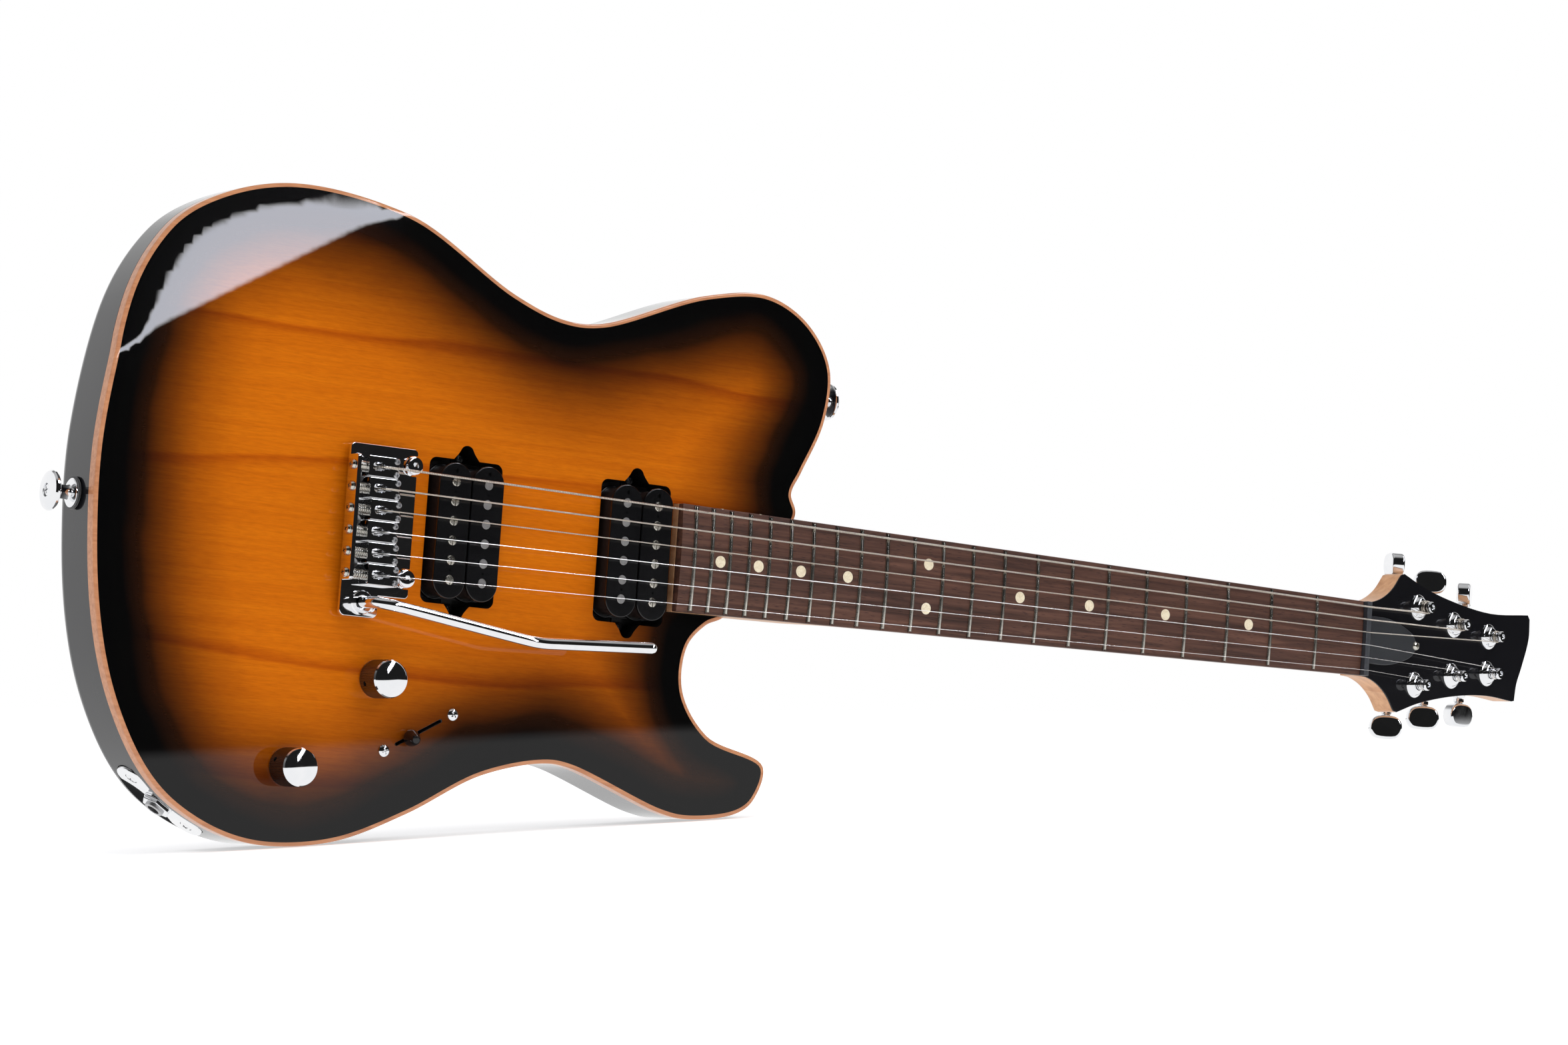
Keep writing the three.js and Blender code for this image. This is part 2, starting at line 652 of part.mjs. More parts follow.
function tremoloArm() {
  const socket = new THREE.Vector3(ARM_SOCKET.x, ARM_SOCKET.y, 0);
  const path = new THREE.CatmullRomCurve3([
    socket.clone().setZ(PLATE_TOP - 1), socket.clone().setZ(6),
    new THREE.Vector3(-655, -41.6, 13.5), new THREE.Vector3(-640, -43.5, 15.8),
    new THREE.Vector3(-600, -49, 17), new THREE.Vector3(-574, -52.6, 18.5),
    new THREE.Vector3(-560, -53.2, 21), new THREE.Vector3(-540, -52.5, 26),
    new THREE.Vector3(-508, -51, 34),
  ], false, 'centripetal');
  return wire(path.getPoints(16), 3, 8);
}

// ---- Tremolo springs ----

const SPRING_Z = -41.5;
const SPRING_SIDES = [18, -18];
const CLAW_X = -552;

function tremoloSpring(y) {
  const coilRadius = 3.4;
  const turns = 9;
  const pointsPerTurn = 6;
  const start = -643;
  const length = CLAW_X - 6 - start;
  const points = Array.from({ length: turns * pointsPerTurn + 1 }, (_, i) => {
    const angle = (2 * Math.PI * i) / pointsPerTurn;
    const x = start + (length * i) / (turns * pointsPerTurn);
    const side = y + coilRadius * Math.cos(angle);
    return new THREE.Vector3(x, side, SPRING_Z + coilRadius * Math.sin(angle));
  });
  return wire(points, 0.6, 3);
}

function springClaw() {
  const plate = box(CLAW_X, CLAW_X + 2, -27, 27, SPRING_Z - 5, SPRING_Z + 5);
  const foot = box(CLAW_X - 5, CLAW_X + 1, -27, 27, SPRING_Z - 5, SPRING_Z - 3.4);
  const screws = [10, -10].map((y) => cylinder(0, 0, 2, 0, 13, 10)
    .rotateY(Math.PI / 2).translate(CLAW_X + 0.5, y, SPRING_Z));
  return join(cut(plate, box(CLAW_X - 1, CLAW_X + 3, -1, 1, SPRING_Z + 2, 0)), foot, ...screws);
}

// ---- Pickups and controls ----

function pickup(x) {
  const top = -2.5;
  const bobbin = (centre) => prism(roundedRectangle(centre - 9.2, centre + 9.2, -34.5, 34.5, 9.1), -20, top, 4);
  const base = box(x - 18.8, x + 18.8, -34, 34, -22, -19.5);
  const ears = box(x - 3, x + 3, -41, 41, -22, -20.4);
  return join(bobbin(x - 9.6), bobbin(x + 9.6), base, ears);
}

function knob(place) {
  const low = BODY_TOP + 0.5;
  return turned([
    [0, -15], [3, -15], [3, -3.2], [6.8, -3.2], [6.8, low], [9, low], [9.4, low + 0.6],
    [9.4, 5.4], [8.7, 6.9], [5, 7.9], [0, 8.2],
  ], 20).translate(place.x, place.y, 0);
}

function potentiometer(place) {
  return turned([
    [0, -29], [12, -29], [12, -18.5], [8, -18.5], [8, CAP_UNDERSIDE - GAP],
    [4, CAP_UNDERSIDE - GAP], [4, -4.5], [3 + GAP, -4.5], [3 + GAP, -16], [0, -16],
  ], 14).translate(place.x, place.y, 0);
}

// Moves a shape drawn with the switch's slot along X to its place
function atSwitch(geometry) {
  return geometry.rotateZ(SWITCH_ANGLE).translate(SWITCH.x, SWITCH.y, 0);
}

function switchBody() {
  const frame = box(-24, 24, -7, 7, CAP_UNDERSIDE - 2, CAP_UNDERSIDE - GAP);
  const wafer = box(-17, 17, -6, 6, -44, CAP_UNDERSIDE - 1);
  return atSwitch(cut(join(frame, wafer), box(-19.5, 19.5, -1.2, 1.2, -38, 0)));
}

function switchLever() {
  const blade = box(-3, 3, -0.6, 0.6, -3, 25);
  const tip = turned([[0, 22.3], [2.6, 22.3], [4.2, 24], [4, 26], [2.4, 31.5], [0, 33]], 12);
  const lever = join(blade, tip).rotateY(SWITCH_REST).translate(0, 0, SWITCH_PIVOT_Z);
  return atSwitch(lever);
}

function jackPlate() {
  const plate = prism(roundedRectangle(-27, 27, -11.5, 11.5, 11.4), -2, 0, 6);
  return atJack(cut(plate, cylinder(0, 0, 5 + GAP, -5, 5, 18)).rotateX(-Math.PI / 2));
}

function outputJack() {
  const barrel = turned([
    [3.2, -30], [8.5, -30], [8.5, -2.4], [5, -2.4], [5, 0.3], [8, 0.3], [8, 3.2], [5, 3.2],
    [5, 4.6], [3.2, 4.6], [3.2, -30],
  ], 12);
  return atJack(barrel.rotateX(-Math.PI / 2));
}

function neckPlate() {
  return prism(roundedRectangle(-486, -447, -21, 29, 9), BODY_BACK - GAP - 2, BODY_BACK - GAP, 4);
}

// ---- Assembly ----

const guitar = new THREE.Group();

function addPart(name, geometry, finish) {
  const mesh = new THREE.Mesh(geometry, MATERIALS[finish]);
  mesh.name = name;
  guitar.add(mesh);
  return mesh;
}

function addStrapButton(name, x, y, angle) {
  const button = addPart(name, strapButton().rotateX(-Math.PI / 2), 'chrome');
  button.rotation.z = angle;
  button.position.set(x, y, EDGE_MIDDLE_Z);
}

addPart('body_top', bodyTop(), 'cap');
addPart('body_back', bodyBack(), 'black_lacquer');
addPart('neck', neck(), 'maple');
addPart('fingerboard', fingerboard(), 'rosewood');
addPart('nut', nut(), 'graphite');
addPart('truss_rod', trussRod(), 'steel');
addPart('truss_rod_cover', trussRodCover(), 'black_plastic');
addPart('neck_plate', neckPlate(), 'chrome');
// Strings are numbered from the thinnest, on the treble side, as players number them
TUNERS.forEach((tuner, i) => {
  const number = TUNERS.length - i;
  addPart(`tuner_housing_${number}`, tunerHousing(tuner), 'chrome');
  addPart(`tuner_post_${number}`, tunerPost(tuner), 'chrome');
  addPart(`tuner_button_${number}`, tunerButton(tuner), 'chrome');
  addPart(`string_${number}`, guitarString(i), 'wound_string');
  addPart(`saddle_${number}`, saddle(i), 'chrome');
});
addPart('bridge_plate', bridgePlate(), 'chrome');
addPart('sustain_block', sustainBlock(), 'steel');
addPart('pivot_stud_bass', pivotStud(PIVOT_STUDS[0]), 'chrome');
addPart('pivot_stud_treble', pivotStud(PIVOT_STUDS[1]), 'chrome');
addPart('tremolo_arm', tremoloArm(), 'chrome');
SPRING_SIDES.forEach((y, i) => addPart(`tremolo_spring_${i + 1}`, tremoloSpring(y), 'steel'));
addPart('spring_claw', springClaw(), 'steel');
addPart('spring_cover', prism(springOutline(4), BODY_BACK, BODY_BACK + COVER_THICKNESS, 3), 'black_plastic');
addPart('control_cover', prism(controlOutline(5), BODY_BACK, BODY_BACK + COVER_THICKNESS), 'black_plastic');
addPart('pickup_neck', pickup(PICKUPS.neck), 'black_plastic');
addPart('pickup_bridge', pickup(PICKUPS.bridge), 'black_plastic');
addPart('volume_knob', knob(VOLUME), 'chrome');
addPart('tone_knob', knob(TONE), 'chrome');
addPart('volume_potentiometer', potentiometer(VOLUME), 'steel');
addPart('tone_potentiometer', potentiometer(TONE), 'steel');
addPart('switch_body', switchBody(), 'black_plastic');
addPart('switch_lever', switchLever(), 'black_plastic');
addPart('jack_plate', jackPlate(), 'chrome');
addPart('output_jack', outputJack(), 'steel');
addStrapButton('strap_button_end', -807.5 - GAP, -1, Math.PI / 2);
addStrapButton('strap_button_horn', -379.8 + GAP, 96, -Math.PI / 2);

// The guitar on its edge: its face looks along -Y and its headstock dips towards the floor
guitar.rotation.x = Math.PI / 2;
const leaning = new THREE.Group();
leaning.add(guitar);
leaning.rotation.y = STANDING_TILT;
const standing = new THREE.Group();
standing.add(leaning);
standing.updateMatrixWorld(true);
const bounds = new THREE.Box3().setFromObject(standing, true);
const middle = bounds.getCenter(new THREE.Vector3());
leaning.position.set(-middle.x, -middle.y, -bounds.min.z);

export default standing;
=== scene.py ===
"""The looks of an electric guitar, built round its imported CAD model.

Shapes are drawn in the guitar's own axes, in millimetres: +X runs from the body to the headstock,
+Y to the bass strings and +Z out of the face. X = 0 is the nut and Z = 0 the fingerboard.
PLACE carries them to the row frame, in metres.
"""

import json
import math

import bmesh
import bpy
import numpy as np
from mathutils import Matrix, Vector
from mathutils.geometry import delaunay_2d_cdt


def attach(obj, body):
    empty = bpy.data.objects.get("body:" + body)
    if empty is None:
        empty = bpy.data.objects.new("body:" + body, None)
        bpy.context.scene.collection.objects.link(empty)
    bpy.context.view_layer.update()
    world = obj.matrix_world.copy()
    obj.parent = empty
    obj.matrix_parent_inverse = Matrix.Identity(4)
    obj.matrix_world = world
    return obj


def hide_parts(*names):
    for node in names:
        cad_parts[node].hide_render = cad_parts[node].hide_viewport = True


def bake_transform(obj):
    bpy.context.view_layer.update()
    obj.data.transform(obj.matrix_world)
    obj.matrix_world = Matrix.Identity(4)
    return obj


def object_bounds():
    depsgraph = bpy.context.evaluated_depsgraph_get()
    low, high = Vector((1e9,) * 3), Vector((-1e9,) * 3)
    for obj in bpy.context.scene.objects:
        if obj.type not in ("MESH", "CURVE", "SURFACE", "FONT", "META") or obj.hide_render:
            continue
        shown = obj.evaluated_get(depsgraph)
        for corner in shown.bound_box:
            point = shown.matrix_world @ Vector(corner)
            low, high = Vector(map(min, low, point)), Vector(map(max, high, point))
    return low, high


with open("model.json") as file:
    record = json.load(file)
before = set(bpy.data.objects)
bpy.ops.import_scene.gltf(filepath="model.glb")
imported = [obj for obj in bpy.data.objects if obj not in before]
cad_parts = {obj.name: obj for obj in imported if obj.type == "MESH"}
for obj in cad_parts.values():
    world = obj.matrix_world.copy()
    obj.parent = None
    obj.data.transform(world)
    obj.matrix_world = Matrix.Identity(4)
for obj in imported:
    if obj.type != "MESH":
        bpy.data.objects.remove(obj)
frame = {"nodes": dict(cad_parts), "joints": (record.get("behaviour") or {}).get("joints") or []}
cad_low, cad_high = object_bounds()

MM = 0.001
JOINTS = {joint["name"]: joint for joint in frame["joints"]}
NODES = frame["nodes"]

# ---- The guitar's own axes ----


def guitar_place():
    """The matrix from the guitar's axes to the row frame, from the joints and the nut."""
    bass = Vector(JOINTS["tremolo_pivot"]["axis"])
    face = Vector(JOINTS["volume_turn"]["axis"])
    along = bass.cross(face)
    turn = Matrix((along, bass, face)).transposed()
    points = np.array([v.co for v in NODES["nut"].data.vertices]) @ np.array(turn)
    low, high = points.min(0), points.max(0)
    nut_top = 1.2 * MM
    origin = turn @ Vector((low[0], (low[1] + high[1]) / 2, high[2] - nut_top))
    return Matrix.Translation(origin) @ turn.to_4x4()


PLACE = guitar_place()
TO_GUITAR = PLACE.inverted()


def span(node):
    """A CAD node's lowest and highest corner in the guitar's axes, in millimetres."""
    inverse = np.array(TO_GUITAR)
    points = np.array([v.co for v in NODES[node].data.vertices])
    points = (points @ inverse[:3, :3].T + inverse[:3, 3]) / MM
    return points.min(0), points.max(0)


def joint_point(name):
    return (TO_GUITAR @ Vector(JOINTS[name]["pos_m"])) / MM


# ---- Dimensions, in millimetres ----

SCALE_LENGTH = 648
FRET_COUNT = 22
NUT_WIDTH = 43
NUT_LENGTH = 5
BOARD_LOW, BOARD_HIGH = span("fingerboard")
BOARD_LENGTH = -BOARD_LOW[0]
BOARD_END_WIDTH = BOARD_HIGH[1] - BOARD_LOW[1]
BOARD_THICKNESS = -BOARD_LOW[2]
BOARD_RADIUS = 305
NECK_TOP = -BOARD_THICKNESS - 0.3
BODY_TOP = span("body_top")[1][2]
BODY_BACK = span("body_back")[0][2]
CAP_THICKNESS = 6.4
CAP_BOTTOM = BODY_TOP - CAP_THICKNESS
# The bare wood round the cap's edge
BAND_WIDTH = 2.1
BACK_EDGE_RADIUS = 10
HEAD_TILT = 10
HEAD_FACE_AT_NUT = -3.5
HEAD_THICKNESS = 14.5
STRING_SPREAD_AT_NUT = 36.8
STRING_SPREAD_AT_BRIDGE = 54
STRING_HEIGHT_AT_NUT = 2.2
STRING_HEIGHT_AT_BRIDGE = 4.2
PLATE_TOP = -4.5
PLATE_THICKNESS = 2.5
PLATE_REAR = -671.5
POST_RADIUS = 3
WORM_BELOW_FACE = 19.5
# From the bass string to the treble string, in the order that every list of strings has
STRING_RADII = (0.58, 0.46, 0.33, 0.22, 0.17, 0.13)
STRING_COUNT = len(STRING_RADII)
# How far each saddle's crest is past the scale length, and the plate's hole past the crest
SADDLE_SETBACK = (4.5, 3.2, 2, 3, 2, 1)
SADDLE_HOLE = 8
SADDLE_SCREWS = (-3.35, 3.35)

# The body's outer edge, going round from the bass side of the neck, as in the CAD source
BODY_CORNERS = (
    (-397, 30.5), (-400.5, 41.5), (-395, 53.5), (-382.5, 82), (-381, 111), (-396.5, 133),
    (-423.5, 145), (-463, 140), (-526, 117), (-549.5, 116), (-579.5, 125), (-640, 156),
    (-694, 165.5), (-728.5, 161), (-761.5, 145.5), (-778, 129), (-794, 98.5), (-806.5, 32),
    (-806, -21.5), (-800, -64.5), (-790, -97), (-774, -126.5), (-758.5, -143.5), (-739, -155.5),
    (-717, -163), (-694, -165), (-659.5, -160), (-621, -144), (-580, -122), (-543.5, -113),
    (-527.5, -114), (-469.5, -133.5), (-452, -135.5), (-422, -130.5), (-411.5, -122.5),
    (-407, -104.5), (-444, -91), (-461, -69), (-460, -45.5), (-449.5, -33.5), (-437, -27),
)
# The slope for the player's forearm: a point and the direction of the line where it starts, how
# far it rolls over beside the edge, how steep it is, and how softly it starts
CONTOUR_START = np.array((-795.0, 70.0))
CONTOUR_DIRECTION = np.array((145.0, 84.0)) / math.hypot(145, 84)
CONTOUR_ROLL = 1.2
CONTOUR_ROLL_WIDTH = 13
CONTOUR_SLOPE = math.tan(math.radians(11))
CONTOUR_SOFTNESS = 9
# The control cavity: each corner, and the way it moves when the outline grows
CONTROL_CORNERS = (
    (-732, -128, -1, 0), (-724, -140, 0, -1), (-680, -143, 0, -1), (-636, -133, 0, -1),
    (-593, -108, 1, 0), (-590, -84, 1, 0), (-620, -66, 0, 1), (-655, -62, 0, 1),
    (-700, -98, 0, 1), (-730, -114, -1, 1),
)

PIVOT_STUDS = (30, -27)
PIVOT_X = -636
STUD_HOLE = 5.3
ARM_SOCKET = joint_point("arm_swing")
VOLUME = joint_point("volume_turn")
TONE = joint_point("tone_turn")
SWITCH = joint_point("switch_swing")
SWITCH_ANGLE = 29
SWITCH_REST = -15.5
EDGE_MIDDLE_Z = -31
JACK = Vector((-748, -145.5, EDGE_MIDDLE_Z))
JACK_ANGLE = math.radians(-33.7)
JACK_ALONG = Vector((math.cos(JACK_ANGLE), math.sin(JACK_ANGLE), 0))
JACK_OUT = Vector((math.sin(JACK_ANGLE), -math.cos(JACK_ANGLE), 0))
# The plate's face stands this far out, so that its middle is flush with the rounded edge
JACK_RAISE = 2.4
PICKUPS = {"neck": -498.5, "bridge": -601.5}
POST_HEIGHT = 11
# Each post's distance from the nut and from the middle, on the headstock's face, and the angle
# that its button is turned to
TUNERS = (
    (54, 23.1, 55), (89, 16, -42), (123.5, 12, 32),
    (123.5, -10.1, 5), (89, -14.4, 42), (54, -22.6, 42),
)

# ---- Outlines and solids: each solid is (vertices, faces) ----


def spline(corners, per_span, closed=True):
    """A centripetal Catmull-Rom curve through the corners."""
    corners = np.array(corners, float)
    count = len(corners)
    if not closed:
        first = 2 * corners[0] - corners[1]
        last = 2 * corners[-1] - corners[-2]
        corners = np.vstack([first, corners, last])
    out = []
    for i in range(0 if closed else 1, count):
        p0, p1, p2, p3 = (corners[k % len(corners)] for k in range(i - 1, i + 3))
        d0, d1, d2 = (math.sqrt(np.linalg.norm(b - a)) for a, b in ((p0, p1), (p1, p2), (p2, p3)))
        t1 = ((p1 - p0) / d0 - (p2 - p0) / (d0 + d1) + (p2 - p1) / d1) * d1
        t2 = ((p2 - p1) / d1 - (p3 - p1) / (d1 + d2) + (p3 - p2) / d2) * d1
        for t in np.arange(per_span) / per_span:
            out.append(
                (2 * t**3 - 3 * t**2 + 1) * p1 + (t**3 - 2 * t**2 + t) * t1
                + (3 * t**2 - 2 * t**3) * p2 + (t**3 - t**2) * t2
            )
    if not closed:
        out.append(corners[-2])
    return np.array(out)


def signed_area(points):
    x, y = points[:, 0], points[:, 1]
    return 0.5 * np.sum(x * np.roll(y, -1) - np.roll(x, -1) * y)


def normals_of(points, reach=0):
    """Outward directions of a closed outline, averaged over reach neighbours on each side."""
    step = np.roll(points, -1, 0) - np.roll(points, 1, 0)
    step /= np.linalg.norm(step, axis=1)[:, None]
    total = sum(np.roll(step, k, 0) for k in range(-reach, reach + 1))
    total /= np.linalg.norm(total, axis=1)[:, None]
    turn = 1 if signed_area(points) > 0 else -1
    return np.column_stack([total[:, 1], -total[:, 0]]) * turn


def inset(points, distance, reach=0):
    return points - normals_of(points, reach) * distance


def rounded_rectangle(x0, x1, y0, y1, radius, steps=8):
    quarter = np.linspace(0, math.pi / 2, steps + 1)
    corners = ((x1, y1, 0), (x0, y1, 1), (x0, y0, 2), (x1, y0, 3))
    out = []
    for x, y, turn in corners:
        centre_x = x - radius if x == x1 else x + radius
        centre_y = y - radius if y == y1 else y + radius
        for angle in quarter + turn * math.pi / 2:
            out.append((centre_x + radius * math.cos(angle), centre_y + radius * math.sin(angle)))
    return np.array(out)


def circle(x, y, radius, sides=32):
    angles = np.linspace(0, 2 * math.pi, sides, endpoint=False)
    return np.column_stack([x + radius * np.cos(angles), y + radius * np.sin(angles)])


def skin(rows):
    """Faces between closed rows of vertex numbers. A row at a tip repeats one vertex."""
    faces = []
    for lower, upper in zip(rows, rows[1:]):
        for i in range(len(lower)):
            j = (i + 1) % len(lower)
            corners = tuple(dict.fromkeys((lower[i], lower[j], upper[j], upper[i])))
            if len(corners) > 2:
                faces.append(corners)
    return faces


def ring_rows(start, count, size):
    """The vertex numbers of count rings that follow each other."""
    return [range(first, first + size) for first in range(start, start + count * size, size)]


def loft(rings):
    """A skin over matching closed rings, with an end face at each end."""
    rows = ring_rows(0, len(rings), len(rings[0]))
    return np.vstack(rings), [*skin(rows), tuple(rows[0])[::-1], tuple(rows[-1])]


def at_height(points, z):
    return np.column_stack([points, np.full(len(points), float(z))])


def prism(outline, low, high, edge=0.0, steps=3):
    """An upright slab, with its two edges rounded to the radius edge."""
    outline = np.array(outline, float)
    if signed_area(outline) < 0:
        outline = outline[::-1]
    if edge <= 0:
        return loft([at_height(outline, low), at_height(outline, high)])
    angles = np.linspace(0, math.pi / 2, steps + 1)
    rings = []
    for side, end, run in ((1, low, angles), (-1, high, angles[::-1])):
        for angle in run:
            ring = inset(outline, edge * (1 - math.sin(angle)))
            rings.append(at_height(ring, end + side * edge * (1 - math.cos(angle))))
    return loft(rings)


def lathe(profile, sides=40):
    """A turned solid about Z from (radius, height) pairs, which start and end on the axis, or
    close on themselves for a ring."""
    angles = np.linspace(0, 2 * math.pi, sides, endpoint=False)
    vertices, rows = [], []
    for radius, height in profile:
        if radius < 1e-6:
            rows.append([len(vertices)] * sides)
            vertices.append((0, 0, height))
            continue
        rows.append(list(range(len(vertices), len(vertices) + sides)))
        vertices += [(radius * math.cos(a), radius * math.sin(a), height) for a in angles]
    if profile[0][0] > 1e-6:
        rows.append(rows[0])
    return np.array(vertices, float), skin(rows)


def tube(points, radius, sides=12, round_ends=False):
    """A round rod along a line of points."""
    points = np.array(points, float)
    radii = np.full(len(points), float(radius))
    if round_ends:
        points, radii = with_domes(points, radius)
    across = np.array((0.0, 1.0, 0.0))
    angles = np.linspace(0, 2 * math.pi, sides, endpoint=False)
    rings = []
    for i, point in enumerate(points):
        along = points[min(i + 1, len(points) - 1)] - points[max(i - 1, 0)]
        along /= np.linalg.norm(along)
        across = across - along * (across @ along)
        if np.linalg.norm(across) < 1e-6:
            across = np.array((1.0, 0.0, 0.0))
        across /= np.linalg.norm(across)
        up = np.cross(along, across)
        ring = np.cos(angles)[:, None] * across + np.sin(angles)[:, None] * up
        rings.append(point + ring * radii[i])
    return loft(rings)


def with_domes(points, radius):
    """A rod's line with a half ball added to each end, and the radius at each of its points."""
    angles = np.linspace(0.1, math.pi / 2, 5)[:-1, None]
    start = (points[0] - points[1]) / np.linalg.norm(points[0] - points[1])
    end = (points[-1] - points[-2]) / np.linalg.norm(points[-1] - points[-2])
    first = points[0] + start * radius * np.cos(angles)
    last = points[-1] + end * radius * np.cos(angles)
    dome = radius * np.sin(angles[:, 0])
    radii = np.concatenate([dome, np.full(len(points), radius), dome[::-1]])
    return np.vstack([first, points, last[::-1]]), radii


def moved(solid, matrix):
    vertices, faces = solid
    matrix = np.array(matrix)
    return vertices @ matrix[:3, :3].T + matrix[:3, 3], faces


def shifted(solid, x, y):
    return moved(solid, Matrix.Translation((x, y, 0)))


def joined(solids):
    vertices, faces, start = [], [], 0
    for some_vertices, some_faces in solids:
        vertices.append(some_vertices)
        faces += [tuple(i + start for i in face) for face in some_faces]
        start += len(some_vertices)
    return np.vstack(vertices), faces


def block(x0, x1, y0, y1, z0, z1):
    return prism([(x0, y0), (x1, y0), (x1, y1), (x0, y1)], z0, z1)


def facing(x, y, z, direction):
    """A matrix that turns +Z to a direction and moves the origin to a point."""
    turn = Vector(direction).to_track_quat("Z", "Y").to_matrix().to_4x4()
    return Matrix.Translation((x, y, z)) @ turn


# Lays a solid drawn with X, Y and Z along Y, Z and X
ACROSS = Matrix(((0, 0, 1, 0), (1, 0, 0, 0), (0, 1, 0, 0), (0, 0, 0, 1)))


def turned(axis, degrees):
    return Matrix.Rotation(math.radians(degrees), 4, axis)


def row_place(x, y, z=0.0):
    """Where a piece that is drawn round its own origin goes, as a matrix in the row frame."""
    return PLACE @ Matrix.Translation(Vector((x, y, z)) * MM)


# ---- Materials ----


COAT_IOR = 1.38
# How far the growth rings wander, in metres, and how far the burst reaches in, in millimetres
RING_BEND = 0.018
BURST_WIDTH = 90


class Nodes:
    """A node tree under construction."""

    def __init__(self, tree):
        self.tree = tree

    def put(self, socket, value):
        """Links a socket to another, or sets its value; a colour may leave out its alpha."""
        if isinstance(value, bpy.types.NodeSocket):
            self.tree.links.new(value, socket)
        elif socket.type == "RGBA":
            socket.default_value = (*value[:3], 1)
        else:
            socket.default_value = value

    def node(self, kind, settings=None, **values):
        """Makes a node. A value's name is its socket's, or an underscore and its number."""
        made = self.tree.nodes.new(kind)
        for key, value in (settings or {}).items():
            setattr(made, key, value)
        for key, value in values.items():
            self.put(made.inputs[int(key[1:]) if key[1:].isdigit() else key], value)
        return made

    def mix(self, factor, first, second, blend="MIX"):
        settings = {"data_type": "RGBA", "blend_type": blend}
        return self.node("ShaderNodeMix", settings, _0=factor, _6=first, _7=second).outputs[2]

    def math(self, operation, first, second=0.0):
        return self.node("ShaderNodeMath", {"operation": operation}, _0=first, _1=second).outputs[0]

    def range(self, value, low, high, to_low=0.0, to_high=1.0, kind="LINEAR"):
        """The change of value from low to high, as a change from to_low to to_high."""
        return self.node("ShaderNodeMapRange", {"interpolation_type": kind}, _0=value, _1=low,
                         _2=high, _3=to_low, _4=to_high).outputs[0]


class Look(Nodes):
    """A procedural material under construction, in the guitar's own axes, in metres."""

    def __init__(self, name, color, roughness, metallic=0.0, coat=0.0, coat_roughness=0.03):
        self.material = bpy.data.materials.new("look_" + name)
        self.material.use_nodes = True
        super().__init__(self.material.node_tree)
        self.shader = self.tree.nodes["Principled BSDF"]
        self.surface({
            "Base Color": color, "Roughness": roughness, "Metallic": metallic, "Coat Weight": coat,
            "Coat Roughness": coat_roughness, "Coat IOR": COAT_IOR,
        })
        self.material.diffuse_color = (*color, 1)
        row = self.node("ShaderNodeTexCoord").outputs["Object"]
        turn, shift = TO_GUITAR.to_euler(), TO_GUITAR.translation
        self.place = self.node("ShaderNodeMapping", Vector=row, Rotation=turn, Location=shift).outputs[0]

    def surface(self, values):
        """Sets or links inputs of the surface's shader."""
        for name, value in values.items():
            self.put(self.shader.inputs[name], value)

    def coordinates(self, scale=(1, 1, 1)):
        return self.node("ShaderNodeMapping", Vector=self.place, Scale=scale).outputs["Vector"]

    def noise(self, vector, scale, detail=4.0, roughness=0.55, distortion=0.0):
        made = self.node(
            "ShaderNodeTexNoise", Vector=vector, Scale=scale, Detail=detail,
            Roughness=roughness, Distortion=distortion,
        )
        return made.outputs["Fac"]

    def ramp(self, factor, stops):
        """A colour ramp from (position, colour) pairs."""
        made = self.node("ShaderNodeValToRGB", Fac=factor)
        elements = made.color_ramp.elements
        while len(elements) < len(stops):
            elements.new(0.5)
        for element, (position, color) in zip(elements, stops):
            element.position = position
            element.color = (*color, 1)
        return made.outputs["Color"]

    def times(self, first, second):
        return self.mix(1.0, first, second, "MULTIPLY")

    def wave(self, settings, vector, **values):
        return self.node("ShaderNodeTexWave", settings, Vector=vector, **values).outputs["Fac"]

    def bump(self, height, strength, distance):
        made = self.node("ShaderNodeBump", Height=height, Strength=strength, Distance=distance)
        self.surface({"Normal": made.outputs["Normal"]})


def speckled(name, color, roughness, metallic=0.0, grain=900, depth=0.00002, coat=0.0, spread=0.06):
    """A plain finish with fine variation in its roughness and a shallow surface texture."""
    look = Look(name, color, roughness, metallic, coat)
    vector = look.coordinates()
    fine = look.noise(vector, grain)
    broad = look.noise(vector, grain / 25, 2)
    darker = tuple(0.82 * c for c in color)
    look.surface({
        "Roughness": look.range(broad, 0.3, 0.7, roughness - spread / 2, roughness + spread),
        "Base Color": look.mix(look.range(fine, 0.35, 0.65), darker, color),
    })
    look.bump(fine, 0.25, depth)
    return look.material


def wood_grain(look, streak, ring_scale, centre, stretch):
    """Grain running along X: fine streaks, and growth rings that close into long arches."""
    streaks = look.noise(look.coordinates((streak[0], streak[1], streak[1])), 1.0, 5, 0.6, 0.4)
    centred = look.node(
        "ShaderNodeMapping", Vector=look.place, Location=(-centre[0] * stretch, -centre[1], 0),
        Scale=(stretch, 1, 0),
    ).outputs["Vector"]
    bend = look.noise(look.coordinates((3, 12, 12)), 1.0, 2)
    offset = look.node("ShaderNodeCombineXYZ", Y=look.range(bend, 0, 1, -RING_BEND, RING_BEND)).outputs[0]
    bent = look.node("ShaderNodeVectorMath", {"operation": "ADD"}, _0=centred, _1=offset).outputs[0]
    rings = look.wave(
        {"wave_type": "RINGS", "rings_direction": "SPHERICAL", "wave_profile": "SAW"},
        bent, Scale=ring_scale, Distortion=0.6, Detail=2.0, **{"Detail Scale": 8.0},
    )
    return streaks, rings


